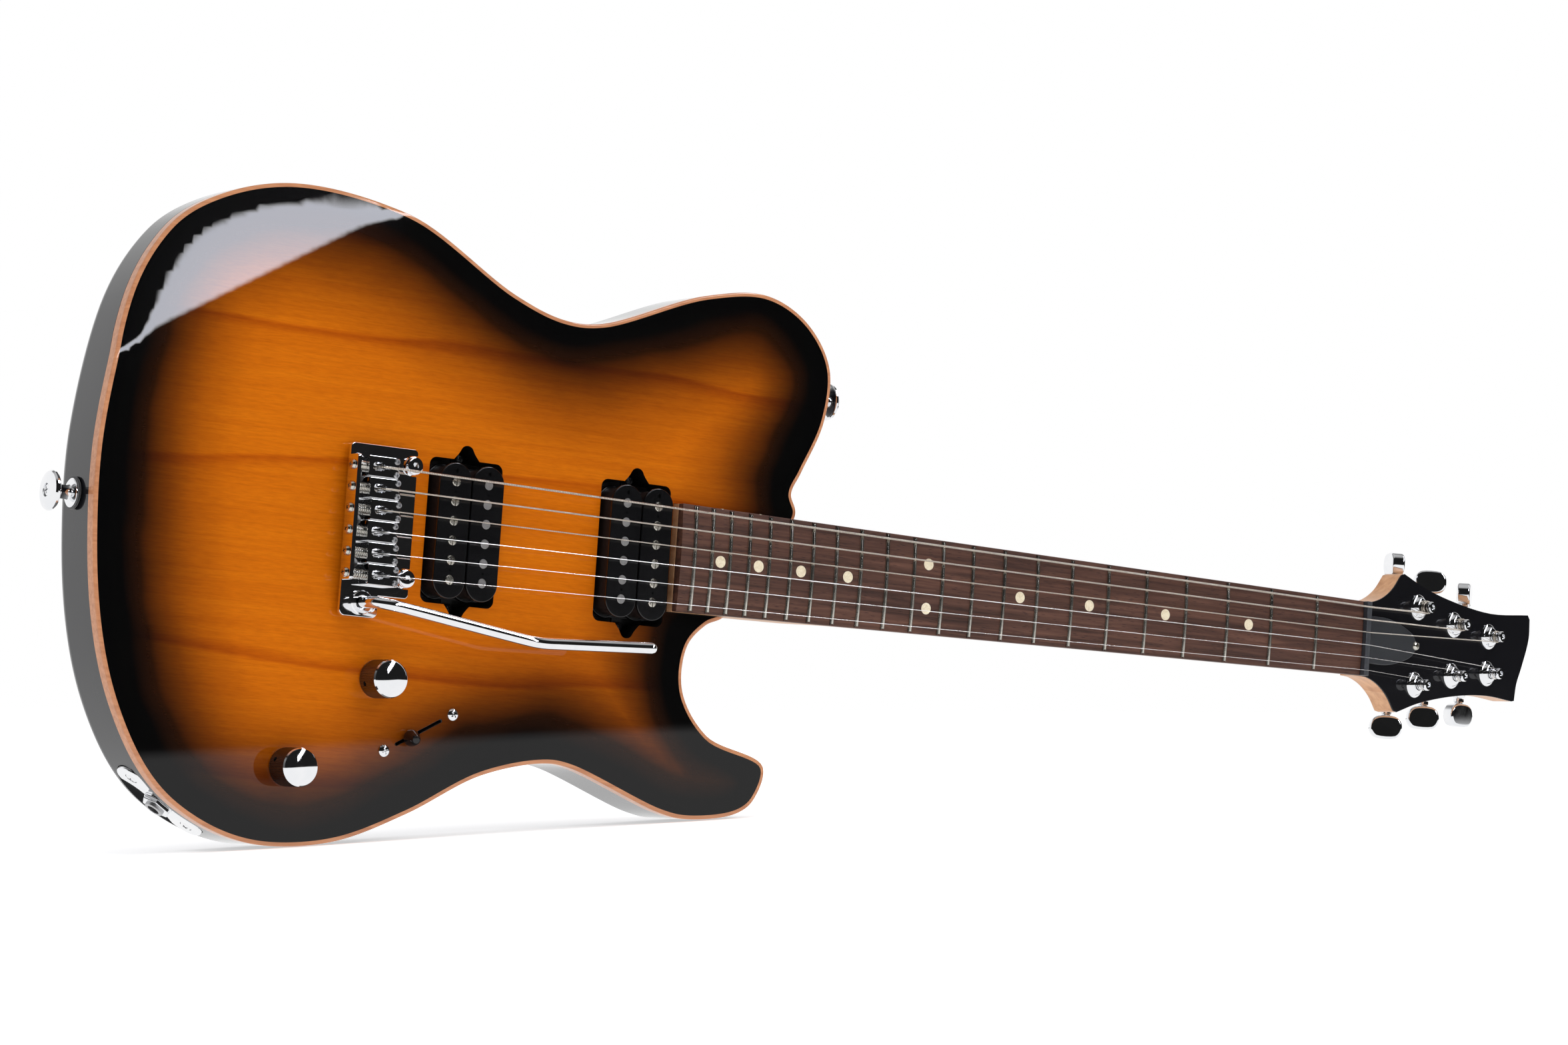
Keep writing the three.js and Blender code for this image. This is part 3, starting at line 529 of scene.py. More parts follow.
def burst_look():
    """A figured cap under gloss: amber in the middle, through brown to black near the edge, and
    bare wood in the band outside the burst."""
    look = Look("burst_cap", (0.6, 0.25, 0.03), 0.5, coat=1.0, coat_roughness=0.02)
    streaks, rings = wood_grain(look, (9, 420), 5.5, (-0.60, -0.02), 0.16)
    edge = look.node("ShaderNodeAttribute", {"attribute_name": "edge_distance"}).outputs["Fac"]
    cloud = look.noise(look.coordinates((7, 9, 9)), 1.0, 3)
    reach = look.math("ADD", edge, look.range(cloud, 0.25, 0.75, -7, 7))
    amber = look.ramp(streaks, [
        (0.2, (0.50, 0.112, 0.0014)), (0.5, (0.58, 0.140, 0.0022)), (0.8, (0.64, 0.168, 0.0032)),
    ])
    amber = look.times(amber, look.ramp(rings, [
        (0.0, (1, 1, 1)), (0.86, (0.97, 0.95, 0.92)), (0.97, (0.72, 0.56, 0.42)), (1.0, (0.95, 0.9, 0.85)),
    ]))
    flecks = look.noise(look.coordinates((130, 1300, 1300)), 1.0, 3, 0.6)
    amber = look.times(amber, look.ramp(flecks, [(0.3, (0.84, 0.8, 0.75)), (0.62, (1, 1, 1))]))
    burst = look.times(amber, look.ramp(look.range(reach, 0, BURST_WIDTH), [
        (0.0, (0.0, 0.0, 0.0)), (0.14, (0.0005, 0.0005, 0.001)), (0.25, (0.03, 0.03, 0.06)),
        (0.4, (0.24, 0.22, 0.25)), (0.58, (0.6, 0.57, 0.55)), (0.8, (0.92, 0.91, 0.9)),
        (1.0, (1.0, 1.0, 1.0)),
    ]))
    bare = look.ramp(streaks, [(0.3, (0.40, 0.165, 0.08)), (0.7, (0.56, 0.26, 0.13))])
    inside = look.range(edge, BAND_WIDTH - 0.06, BAND_WIDTH + 0.06)
    look.surface({"Specular IOR Level": 0.04, "Base Color": look.mix(inside, bare, burst)})
    look.bump(streaks, 0.05, 0.00004)
    return look.material


def black_lacquer_look():
    look = Look("black_lacquer", (0.006, 0.006, 0.0075), 0.3, coat=1.0, coat_roughness=0.025)
    ripple = look.noise(look.coordinates(), 18, 2)
    look.surface({"Specular IOR Level": 0.05, "Roughness": look.range(ripple, 0.3, 0.7, 0.26, 0.36)})
    look.bump(ripple, 0.03, 0.0004)
    return look.material


def neck_wood_look():
    look = Look("neck_wood", (0.56, 0.32, 0.17), 0.42, coat=0.25, coat_roughness=0.3)
    streaks, rings = wood_grain(look, (6, 300), 9.0, (-0.1, 0.01), 0.06)
    base = look.ramp(streaks, [
        (0.3, (0.46, 0.235, 0.115)), (0.55, (0.58, 0.32, 0.17)), (0.75, (0.66, 0.39, 0.22)),
    ])
    line = look.ramp(rings, [(0.0, (1, 1, 1)), (0.9, (0.96, 0.92, 0.88)), (1.0, (0.86, 0.76, 0.66))])
    look.surface({
        "Base Color": look.times(base, line), "Roughness": look.range(streaks, 0.3, 0.7, 0.38, 0.5),
    })
    look.bump(streaks, 0.15, 0.00005)
    return look.material


def rosewood_look():
    look = Look("rosewood", (0.07, 0.035, 0.025), 0.5)
    streaks = look.noise(look.coordinates((14, 330, 330)), 1.0, 6, 0.65, 0.6)
    bands = look.noise(look.coordinates((4, 60, 60)), 1.0, 3)
    spots = look.coordinates((110, 1400, 1400))
    pores = look.node("ShaderNodeTexVoronoi", {"feature": "F1"}, Vector=spots, Scale=1.0)
    pore = look.range(pores.outputs["Distance"], 0.1, 0.22)
    base = look.ramp(streaks, [
        (0.3, (0.028, 0.013, 0.009)), (0.5, (0.075, 0.034, 0.023)), (0.72, (0.135, 0.064, 0.043)),
    ])
    base = look.times(base, look.ramp(bands, [(0.3, (0.72, 0.68, 0.68)), (0.7, (1.18, 1.1, 1.05))]))
    look.surface({
        "Specular IOR Level": 0.28, "Base Color": look.mix(pore, (0.012, 0.006, 0.005), base),
        "Roughness": look.range(streaks, 0.3, 0.7, 0.42, 0.58),
    })
    look.bump(pore, 0.35, 0.00008)
    return look.material


def chrome_look():
    look = Look("chrome", (0.86, 0.87, 0.89), 0.04, 1.0)
    smears = look.noise(look.coordinates(), 60, 3, 0.6, 0.8)
    scratches = look.noise(look.coordinates((900, 60, 900)), 1.0, 2)
    look.surface({
        "Roughness": look.range(smears, 0.35, 0.75, 0.025, 0.085),
        "Base Color": look.mix(look.range(smears, 0.4, 0.7), (0.84, 0.85, 0.87), (0.9, 0.9, 0.91)),
    })
    look.bump(scratches, 0.02, 0.00001)
    return look.material


def wound_string_look(string, pitch):
    """A string wound with wire, with painted shade in the grooves between its turns; pitch is the distance
    from turn to turn, in metres.
    """
    color = (0.86, 0.77, 0.66)
    look = Look(f"wound_string_{string}", color, 0.28, 1.0)
    bands = {"wave_type": "BANDS", "bands_direction": "X"}
    wave = look.wave(bands, look.coordinates(), Scale=1 / (pitch * 6.28))
    look.bump(wave, 0.6, pitch / 2)
    # Painted shade: the grooves between the turns go down to half brightness
    look.surface({"Base Color": look.mix(wave, tuple(0.5 * c for c in color), color)})
    return look.material


def plain_string_look():
    look = Look("plain_string", (0.9, 0.87, 0.84), 0.28, 1.0)
    fine = look.noise(look.coordinates((30, 900, 900)), 1.0, 2)
    look.surface({"Roughness": look.range(fine, 0.3, 0.7, 0.2, 0.36)})
    return look.material


def felt_look():
    look = Look("felt", (0.012, 0.012, 0.013), 0.95)
    fibres = look.noise(look.coordinates(), 2600, 5, 0.7)
    look.surface({
        "Sheen Weight": 0.5, "Base Color": look.mix(fibres, (0.005, 0.005, 0.006), (0.04, 0.04, 0.042)),
    })
    look.bump(fibres, 0.8, 0.0002)
    return look.material


def coil_look():
    look = Look("coil_wire", (0.012, 0.01, 0.01), 0.35)
    bands = {"wave_type": "BANDS", "bands_direction": "Z"}
    wave = look.wave(bands, look.coordinates(), Scale=420.0, Distortion=0.6)
    # Brown wire, with painted shade: near black in the grooves between its rows
    look.surface({"Base Color": look.mix(wave, (0.004, 0.003, 0.003), (0.035, 0.02, 0.016))})
    look.bump(wave, 0.5, 0.00008)
    return look.material


def inlay_look():
    look = Look("inlay", (0.8, 0.72, 0.55), 0.3, coat=0.3)
    swirl = look.noise(look.coordinates(), 420, 3, 0.6, 1.5)
    look.surface({"Base Color": look.ramp(swirl, [(0.3, (0.66, 0.56, 0.38)), (0.7, (0.86, 0.78, 0.6))])})
    look.bump(swirl, 0.05, 0.00002)
    return look.material


BURST = burst_look()
BLACK = black_lacquer_look()
NECK_WOOD = neck_wood_look()
ROSEWOOD = rosewood_look()
CHROME = chrome_look()
STEEL = speckled("steel", (0.52, 0.52, 0.53), 0.34, 1.0, 700)
NICKEL = speckled("nickel_silver", (0.72, 0.69, 0.62), 0.2, 1.0, 500)
INLAY = inlay_look()
BLACK_STEEL = speckled("black_steel", (0.012, 0.012, 0.013), 0.35, 0.6, 700)
GRAPHITE = speckled("graphite", (0.035, 0.038, 0.045), 0.42, 0.0, 600, coat=0.1)
BOBBIN = speckled("bobbin_plastic", (0.004, 0.004, 0.0045), 0.16, 0.0, 1500, 0.000002, spread=0.03)
COVER = speckled("cover_plastic", (0.022, 0.024, 0.028), 0.38, 0.0, 1200, 0.00003)
# The knurled band: a darker metal than the chrome, with the shade of its fine grooves painted into its
# colour
KNURL = speckled("knurl_painted_shade", (0.2, 0.2, 0.21), 0.3, 1.0, 900)
ROUT = speckled("rout_paint", (0.006, 0.006, 0.007), 0.5, 0.0, 500, 0.0001)
WOUND = [wound_string_look(string, pitch) for string, pitch in ((6, 0.0005), (5, 0.0004), (4, 0.0003))]
SLUG = speckled("slug_steel", (0.42, 0.41, 0.40), 0.32, 1.0, 900)
PLAIN = plain_string_look()
FELT = felt_look()
COIL = coil_look()

# ---- Pieces ----


def mesh_object(name, solid, looks=()):
    """An object made of a solid, with its faces turned outwards."""
    vertices, faces = solid
    mesh = bpy.data.meshes.new(name)
    mesh.from_pydata((np.array(vertices) * MM).tolist(), [], [list(map(int, face)) for face in faces])
    for look in looks:
        mesh.materials.append(look)
    obj = bpy.data.objects.new(name, mesh)
    bpy.context.scene.collection.objects.link(obj)
    held = bmesh.new()
    held.from_mesh(mesh)
    bmesh.ops.recalc_face_normals(held, faces=held.faces)
    held.to_mesh(mesh)
    held.free()
    return obj


def piece(name, solid, looks, body="guitar", place=PLACE, sharp=32, bevel=0.0, adds=(), cuts=(),
          late_cuts=()):
    """Adds one visible piece, which stands for the CAD node of its name if there is one.
    looks is a material, or several with the first as the main one. Edges that turn by more than
    sharp degrees stay crisp. Late cuts come after the bevel, so their edges aren't rounded.
    A piece with no body is left for the caller to attach."""
    looks = looks if isinstance(looks, list) else [looks]
    obj = mesh_object(name, solid, looks)
    combine(obj, adds, "UNION")
    combine(obj, cuts, "DIFFERENCE")
    if bevel:
        add_bevel(obj, bevel, 35).use_clamp_overlap = True
        bake_modifiers(obj)
    combine(obj, late_cuts, "DIFFERENCE")
    obj.data.polygons.foreach_set("use_smooth", [True] * len(obj.data.polygons))
    obj.data.set_sharp_from_angle(angle=math.radians(sharp))
    obj.data.transform(place)
    # Large flat faces keep their own direction beside small rounded edges
    obj.modifiers.new("normals", "WEIGHTED_NORMAL").keep_sharp = True
    if body:
        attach(obj, body)
    if name in NODES:
        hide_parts(name)
    return obj


def add_bevel(obj, width, least_angle):
    rounded = obj.modifiers.new("edges", "BEVEL")
    rounded.width = width * MM
    rounded.segments = 2
    rounded.limit_method = "ANGLE"
    rounded.angle_limit = math.radians(least_angle)
    return rounded


def bake_modifiers(obj):
    bpy.context.view_layer.update()
    evaluated = obj.evaluated_get(bpy.context.evaluated_depsgraph_get())
    mesh = bpy.data.meshes.new_from_object(evaluated)
    mesh.name = obj.name
    obj.modifiers.clear()
    obj.data = mesh


def combine(obj, solids, operation):
    """Adds or cuts solids, each alone or in a pair with the look of its own faces."""
    tools = []
    for part in solids:
        solid, looks = (part[0], [part[1]]) if isinstance(part[1], bpy.types.Material) else (part, [])
        tool = mesh_object("cutter", solid, looks)
        tools.append(tool)
        modifier = obj.modifiers.new("combine", "BOOLEAN")
        modifier.object = tool
        modifier.solver = "EXACT"
        modifier.operation = operation
        if looks:
            modifier.material_mode = "TRANSFER"
    if tools:
        bake_modifiers(obj)
    for tool in tools:
        bpy.data.objects.remove(tool)


def cross_screw(name, x, y, z, direction=(0, 0, 1), radius=3.2, height=1.6, body="guitar", turn=20,
                look=CHROME):
    """A pan-head screw with a cross recess."""
    profile = [(0, -4), (radius * 0.45, -4), (radius * 0.45, -0.1), (radius, 0),
               (radius * 0.98, height * 0.35), (radius * 0.8, height * 0.75),
               (radius * 0.45, height * 0.97), (0, height)]
    arm, width = radius * 0.55, radius * 0.11
    cuts = [block(-arm, arm, -width, width, height * 0.35, height + 2),
            block(-width, width, -arm, arm, height * 0.35, height + 2)]
    turned_so = facing(0, 0, 0, direction) @ turned("Z", turn)
    piece(name, lathe(profile, 28), look, body, place=row_place(x, y, z) @ turned_so, cuts=cuts)


# ---- Body ----


def face_height(points):
    """The body face's height: flat, but for the slope under the player's forearm, which rolls
    over a little more beside the edge."""
    normal = np.array((-CONTOUR_DIRECTION[1], CONTOUR_DIRECTION[0]))
    past = (points[:, :2] - CONTOUR_START) @ normal
    soft = CONTOUR_SOFTNESS
    eased = np.where(past > soft, past, np.where(past < -soft, 0, (past + soft) ** 2 / (4 * soft)))
    from_edge = distance_to(points[:, :2], spline(BODY_CORNERS, 12))
    roll = CONTOUR_ROLL * np.clip(1 - from_edge / CONTOUR_ROLL_WIDTH, 0, 1) ** 2 * np.clip(past / 8, 0, 1)
    return BODY_TOP - CONTOUR_SLOPE * eased - roll


def inside(points, outline):
    """Which points lie inside a closed outline."""
    x, y = points[:, 0][:, None], points[:, 1][:, None]
    x0, y0 = outline[:, 0], outline[:, 1]
    x1, y1 = np.roll(x0, -1), np.roll(y0, -1)
    crosses = (y0 > y) != (y1 > y)
    at = x0 + (y - y0) * (x1 - x0) / np.where(y1 == y0, 1e-9, y1 - y0)
    return (np.sum(crosses & (x < at), axis=1) % 2) == 1


def distance_to(points, outline):
    """Each point's distance from a closed outline."""
    start, step = outline, np.roll(outline, -1, 0) - outline
    length = np.maximum((step**2).sum(1), 1e-9)
    out = np.zeros(len(points))
    for i, point in enumerate(points):
        along = np.clip(((point - start) * step).sum(1) / length, 0, 1)
        out[i] = np.min(np.linalg.norm(start + step * along[:, None] - point, axis=1))
    return out


def sheet(outline, holes, spacing, kept_loops=()):
    """A flat triangle mesh inside an outline and outside its holes, with evenly spread points.
    Returns its points, its triangles and the indices of the outline's points."""
    loops = [outline, *kept_loops, *holes]
    low, high = outline.min(0), outline.max(0)
    xs = np.arange(low[0] + spacing, high[0], spacing)
    ys = np.arange(low[1] + spacing, high[1], spacing)
    grid = np.array([(x, y) for x in xs for y in ys])
    keep = inside(grid, outline)
    for loop in loops:
        keep &= distance_to(grid, loop) > spacing * 0.45
    for hole in holes:
        keep &= ~inside(grid, hole)
    points = np.vstack([*loops, grid[keep]])
    edges, start = [], 0
    for loop in loops:
        edges += [(start + i, start + (i + 1) % len(loop)) for i in range(len(loop))]
        start += len(loop)
    found = delaunay_2d_cdt([Vector(p) for p in points], edges, [], 0, 1e-5)
    vertices = np.array([tuple(v) for v in found[0]])
    triangles = np.array(found[2])
    centres = vertices[triangles].mean(1)
    good = inside(centres, outline)
    for hole in holes:
        good &= ~inside(centres, hole)
    place_of = {source: i for i, sources in enumerate(found[3]) for source in sources}
    return vertices, triangles[good], [place_of[i] for i in range(len(outline))]


def board_half_width(x):
    """Half the fingerboard's width, which grows evenly from the nut to the board's end."""
    share = min(max(-x / BOARD_LENGTH, 0), 1)
    return (NUT_WIDTH + (BOARD_END_WIDTH - NUT_WIDTH) * share) / 2


def pocket_outline():
    """The neck's pocket, which is open at the body's edge."""
    end, mouth = -BOARD_LENGTH - 0.3, -370
    corners = ((end, -1), (mouth, -1), (mouth, 1), (end, 1))
    return np.array([(x, side * (board_half_width(x) + 0.3)) for x, side in corners])


def rout_outline(x):
    """A pickup's opening: a rounded rectangle with a tapering ear at each end."""
    half_x, half_y, corner, ear = 21.5, 37, 4, 44.5
    pocket = rounded_rectangle(x - half_x, x + half_x, -half_y, half_y, corner)
    corner_1, corner_2, corner_3, corner_4 = np.split(pocket, 4)
    half_ear = [(7.5, half_y), (4.6, 40.5), (2.6, 43.6)]
    corners = [*half_ear, (0, ear), *((-x, y) for x, y in half_ear[::-1])]
    bass_ear = spline([(x + along, y) for along, y in corners], 4, False)
    treble_ear = bass_ear[::-1] * (1, -1)
    return np.vstack([corner_1, bass_ear, corner_2, corner_3, treble_ear, corner_4])


def block_opening(rear):
    """The opening that the tremolo's block hangs through."""
    return rounded_rectangle(rear, -642.5, -33, 33, 3)


def control_outline(margin):
    return spline([(x + ox * margin, y + oy * margin) for x, y, ox, oy in CONTROL_CORNERS], 8)


def spring_outline(margin):
    return rounded_rectangle(-675 - margin, -536 + margin, -34 - margin, 34 + margin, 6)


def slot_outline(half_length, half_width):
    outline = rounded_rectangle(-half_length, half_length, -half_width, half_width, half_width * 0.99, 6)
    turn = np.array(turned("Z", SWITCH_ANGLE))[:2, :2]
    return outline @ turn.T + np.array((SWITCH.x, SWITCH.y))


def body_top():
    """The figured cap: a curved sheet with openings, rounded at its outer edge."""
    outer = spline(BODY_CORNERS, 12)
    edge = inset(outer, 1.0, 2)
    band = inset(outer, BAND_WIDTH, 4)
    holes = [
        *(rout_outline(x) for x in PICKUPS.values()),
        block_opening(-669.5),
        *(circle(PIVOT_X, y, STUD_HOLE) for y in PIVOT_STUDS),
        *(circle(p.x, p.y, 4.3) for p in (VOLUME, TONE)),
        slot_outline(15, 0.95),
    ]
    flat, triangles, outer_index = sheet(edge, holes, 5.0, [band])
    count = len(flat)
    top = np.column_stack([flat, face_height(flat)])
    faces = [tuple(t) for t in triangles] + [tuple(t + count)[::-1] for t in triangles]
    # Walls join the rims of the two sheets: straight in each hole, rounded at the outer edge
    outside = set(outer_index)
    faces += [(b, a, a + count, b + count) for a, b in rim_edges(triangles) if not {a, b} <= outside]
    levels = ((0.45, 0.12), (0.12, 0.45), (0.0, 1.0), (0.0, CAP_THICKNESS))
    rings = [np.column_stack([inset(outer, inward, 2), face_height(edge) - down]) for inward, down in levels]
    bottom_rim = [i + count for i in outer_index]
    faces += skin([outer_index, *ring_rows(2 * count, len(rings), len(outer)), bottom_rim])
    vertices = np.vstack([top, top - (0, 0, CAP_THICKNESS), *rings])
    pocket = prism(pocket_outline(), -40, 20)
    obj = piece("cap", (vertices, faces), [BURST, ROUT], sharp=50, cuts=[(pocket, ROUT)])
    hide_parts("body_top")
    # The material reads each point's distance from the edge. Points beside the band's inner line
    # are put exactly on it, so that the line is crisp.
    points = np.array([TO_GUITAR @ v.co for v in obj.data.vertices]) / MM
    depth = distance_to(points[:, :2], outer)
    depth = np.where(np.abs(depth - BAND_WIDTH) < 0.3, BAND_WIDTH, depth)
    attribute = obj.data.attributes.new("edge_distance", "FLOAT", "POINT")
    attribute.data.foreach_set("value", depth.astype(np.float32))
    # The walls of the openings are painted
    for face in obj.data.polygons:
        upright = abs((TO_GUITAR.to_3x3() @ face.normal).z) < 0.3
        deep = min(depth[v] for v in face.vertices) > BAND_WIDTH + 1
        if upright and deep:
            face.material_index = 1


def rim_edges(triangles):
    """The directed edges that only one triangle uses."""
    used = {}
    for a, b, c in triangles:
        for edge in ((a, b), (b, c), (c, a)):
            used[edge] = used.get(edge, 0) + 1
    return [(a, b) for a, b in used if (b, a) not in used]


def body_back():
    """The body below the cap, with its back edge rounded and every cavity cut out."""
    outer = spline(BODY_CORNERS, 12)
    flat, triangles, outer_index = sheet(outer, [], 14.0)
    under_cap = np.column_stack([flat, face_height(flat) - CAP_THICKNESS])
    rings = []
    for angle in np.linspace(0, math.pi / 2, 10):
        ring = inset(outer, BACK_EDGE_RADIUS * (1 - math.cos(angle)), 12)
        rings.append(at_height(ring, BODY_BACK + BACK_EDGE_RADIUS * (1 - math.sin(angle))))
    rows = [outer_index, *ring_rows(len(flat), len(rings), len(outer))]
    faces = [*(tuple(t) for t in triangles), *skin(rows), tuple(rows[-1])]
    outside, recess_floor = BODY_BACK - 1, BODY_BACK + 2.3
    cuts = [
        prism(pocket_outline(), NECK_TOP - 20.3, 0),
        *(prism(rout_outline(x), BODY_TOP - 20, 0) for x in PICKUPS.values()),
        prism(block_opening(-674), -60, 0),
        *(prism(circle(PIVOT_X, y, STUD_HOLE, 20), -40, 0) for y in PIVOT_STUDS),
        prism(spring_outline(0), outside, BODY_BACK + 19),
        prism(spring_outline(4.3), outside, recess_floor),
        prism(control_outline(0), outside, 0),
        prism(control_outline(5.3), outside, recess_floor),
        at_jack(prism(rounded_rectangle(-27.4, 27.4, -11.9, 11.9, 11.8, 12), -2.3, 14)),
        at_jack(prism(circle(0, 0, 10.5), -46, 2)),
    ]
    obj = piece("body_shell", (np.vstack([under_cap, *rings]), faces), [BLACK, ROUT], sharp=40,
                cuts=[(cut, ROUT) for cut in cuts])
    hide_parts("body_back")


def at_jack(solid):
    """Moves a solid drawn with +Z out of the jack plate, and X along it, to its place."""
    turn = Matrix((JACK_ALONG, JACK_OUT.cross(JACK_ALONG), JACK_OUT)).transposed().to_4x4()
    return moved(solid, Matrix.Translation(JACK + JACK_OUT * JACK_RAISE) @ turn)


# ---- Neck ----


def neck_ring(x, half_width, depth, squareness):
    """Half of a section of the neck, from one edge of the fingerboard round the back to the other."""
    angles = np.linspace(0, math.pi, 29)
    power = 2 / squareness
    y = half_width * np.sign(np.cos(angles)) * np.abs(np.cos(angles)) ** power
    z = NECK_TOP - depth * np.clip(np.sin(angles), 0, 1) ** power
    return np.column_stack([np.full(len(angles), x), y, z])


def neck_shaft():
    """The neck from its square heel in the pocket to the headstock."""
    heel_start, heel_depth, depth_at_body, depth_at_nut = -395, 20, 16.9, 14.7
    heel = [(-BOARD_LENGTH, heel_depth, 14), (heel_start, heel_depth, 14),
            (heel_start + 6, heel_depth - 0.4, 8), (heel_start + 12, heel_depth - 1.2, 5),
            (heel_start + 22, depth_at_body + 0.8, 2.8)]
    shaft = []
    for x in np.linspace(heel_start + 45, -25, 12):
        share = (x - heel_start) / -heel_start
        shaft.append((x, depth_at_body + (depth_at_nut - depth_at_body) * share, 2.2))
    end = [(-10, depth_at_nut, 2.3), (2, depth_at_nut, 2.8), (12, depth_at_nut, 4.5)]
    widen = {2: 0.15, 12: 0.5}
    return loft([
        neck_ring(x, board_half_width(x) + widen.get(x, 0), depth, squareness)
        for x, depth, squareness in heel + shaft + end
    ])


def head_outline():
    """The headstock's outline on its own face, where X is the distance from the nut."""
    runs = [
        [(2, 21.5), (10, 22.2), (20, 25.5), (29, 31.5), (36.5, 40.5)],
        [(39.5, 41.5), (60, 35), (90, 29.3), (125, 26), (162, 28.5)],
        [(164, 26), (164, 14), (158, -4), (154, -14), (152.5, -24.3)],
        [(150, -24.8), (125, -23.5), (95, -26), (60, -33), (39, -40)],
        [(36, -39.5), (29, -31.5), (20, -25.5), (10, -22.2), (2, -21.5)],
    ]
    return np.vstack([spline(run, 5, False) for run in runs])


HEAD = Matrix.Translation((0, 0, HEAD_FACE_AT_NUT)) @ turned("Y", HEAD_TILT)
HEAD_UP = HEAD.to_3x3() @ Vector((0, 0, 1))
VENEER = 0.9


def on_head(solid):
    return moved(solid, HEAD)


def neck():
    """The neck in one piece with the headstock, and a thin black veneer on the headstock's face."""
    outline = head_outline()
    post_holes = [on_head(prism(circle(along, side, 4, 24), -30, 5)) for along, side, _ in TUNERS]
    shelf = block(-20, NUT_LENGTH + 0.3, -30, 30, NECK_TOP, 20)
    rod_space = [block(-440.5, 24, -3.3, 3.3, -15.5, 0),
                 block(NUT_LENGTH + 0.3, 30, -6, 6, -15.5, 0)]
    piece("neck", neck_shaft(), NECK_WOOD, sharp=38,
          adds=[on_head(prism(outline, -HEAD_THICKNESS, -VENEER, 0.9))],
          cuts=[shelf, *rod_space, *post_holes])
    piece("headstock_veneer", on_head(prism(outline, -VENEER, 0, 0.25, 2)), BLACK, sharp=38,
          cuts=[shelf, rod_space[1], *post_holes])


def board_drop(y):
    return BOARD_RADIUS - math.sqrt(BOARD_RADIUS**2 - y**2)


def board_ring(x, rise, base, edge):
    """A section across the fingerboard, or across a fret that follows its curve."""
    half = board_half_width(x) - edge
    top = [(x, y, rise - board_drop(y)) for y in np.linspace(half, -half, 15)]
    return np.array([*top, (x, -half, base), (x, half, base)])


def fret_x(number):
    """A fret's place: each one shortens the string by the same ratio, twelve to the octave."""
    return -SCALE_LENGTH * (1 - 2 ** (-number / 12))


def fingerboard():
    rings = [board_ring(x, 0, -BOARD_THICKNESS, 0) for x in (-BOARD_LENGTH, -0.3)]
    piece("fingerboard", loft(rings), ROSEWOOD, sharp=30, bevel=0.35)


def frets():
    """Each fret is a bar with a round crown, whose ends slope back to the board's edge."""
    half_foot, crown = 1.2, 1.1
    bars = []
    for number in range(1, FRET_COUNT + 1):
        x = fret_x(number)
        rings = []
        for angle in np.linspace(0, math.pi, 9):
            height = 0.12 + (crown - 0.12) * math.sin(angle)
            slope = 0.25 + 0.75 * math.sin(angle)
            rings.append(board_ring(x - half_foot * math.cos(angle), height, -0.6, slope))
        bars.append(loft(rings))
    piece("frets", joined(bars), NICKEL, sharp=50)


def position_dots():
    """Dots between the frets on the board's face, and small ones on its bass edge."""
    places = [(number, 0) for number in (3, 5, 7, 9, 15, 17, 19, 21)] + [(12, 12), (12, -12)]
    dot = prism(circle(0, 0, 3.15, 36), -0.8, 0.05)
    side_dot = prism(circle(0, 0, 1.1, 20), -0.6, 0.04)
    dots, side_dots = [], []
    for number, side in places:
        x = (fret_x(number) + fret_x(number - 1)) / 2
        tilt = Matrix.Rotation(-math.asin(side / BOARD_RADIUS), 4, "X")
        dots.append(moved(dot, Matrix.Translation((x, side, -board_drop(side))) @ tilt))
        edge_x = x + side / 3
        side_dots.append(moved(side_dot, facing(edge_x, board_half_width(edge_x), -2.4, (0, 1, 0))))
    piece("position_dots", joined(dots), INLAY, sharp=40)
    piece("side_dots", joined(side_dots), INLAY, sharp=40)


def string_side(index, spread):
    """A string's distance from the middle, where the outer strings are spread apart."""
    return spread * (0.5 - index / (STRING_COUNT - 1))


def nut():
    """A nut with a rounded top, filed lower towards the headstock, and a slot for each string."""
    top = STRING_HEIGHT_AT_NUT + 0.45
    profile = [(0, top - 0.1), (0.6, top), (2.4, top - 0.25), (4.4, top - 1.1),
               (NUT_LENGTH, top - 1.9), (NUT_LENGTH, NECK_TOP + 0.3), (0, NECK_TOP + 0.3)]
    lying = moved(prism(profile, -NUT_WIDTH / 2, NUT_WIDTH / 2), turned("X", 90))
    slots = []
    for i, radius in enumerate(STRING_RADII):
        y = string_side(i, STRING_SPREAD_AT_NUT)
        floor = STRING_HEIGHT_AT_NUT - radius
        slot = prism([(y - radius - 0.08, floor), (y + radius + 0.08, floor),
                      (y + radius + 0.25, top + 1), (y - radius - 0.25, top + 1)], -1, NUT_LENGTH + 1)
        slots.append(moved(slot, ACROSS))
    piece("nut", lying, GRAPHITE, bevel=0.3, cuts=slots)


def truss_rod_cover():
    """A plain cover over the truss rod's end, held by one screw."""
    edge = spline([(8, 13.8), (24, 13.6), (38, 10.5), (48, 6), (52.5, 0)], 6, False)
    outline = np.vstack([edge, (edge[:-1] * (1, -1))[::-1]])
    piece("truss_rod_cover", on_head(prism(outline, 0.3, 2.3, 0.5)), COVER, sharp=40)
    cross_screw("cover_screw", *(HEAD @ Vector((50.5, 0, 1.9))), HEAD_UP, 2.75, 2.0, look=NICKEL)


def neck_plate():
    """A plate on the body's back, with the four screws that hold the neck."""
    outline = rounded_rectangle(-486, -447, -21, 29, 9)
    low = BODY_BACK - 2.3
    piece("neck_plate", prism(outline, low, low + 2, 0.5), CHROME, sharp=40)
    for number, (x, y) in enumerate(((-478, -13), (-478, 21), (-455, -13), (-455, 21)), 1):
        cross_screw(f"neck_screw_{number}", x, y, low + 0.2, (0, 0, -1), 4, 1.5, turn=17 * number)


# ---- Tuning machines ----


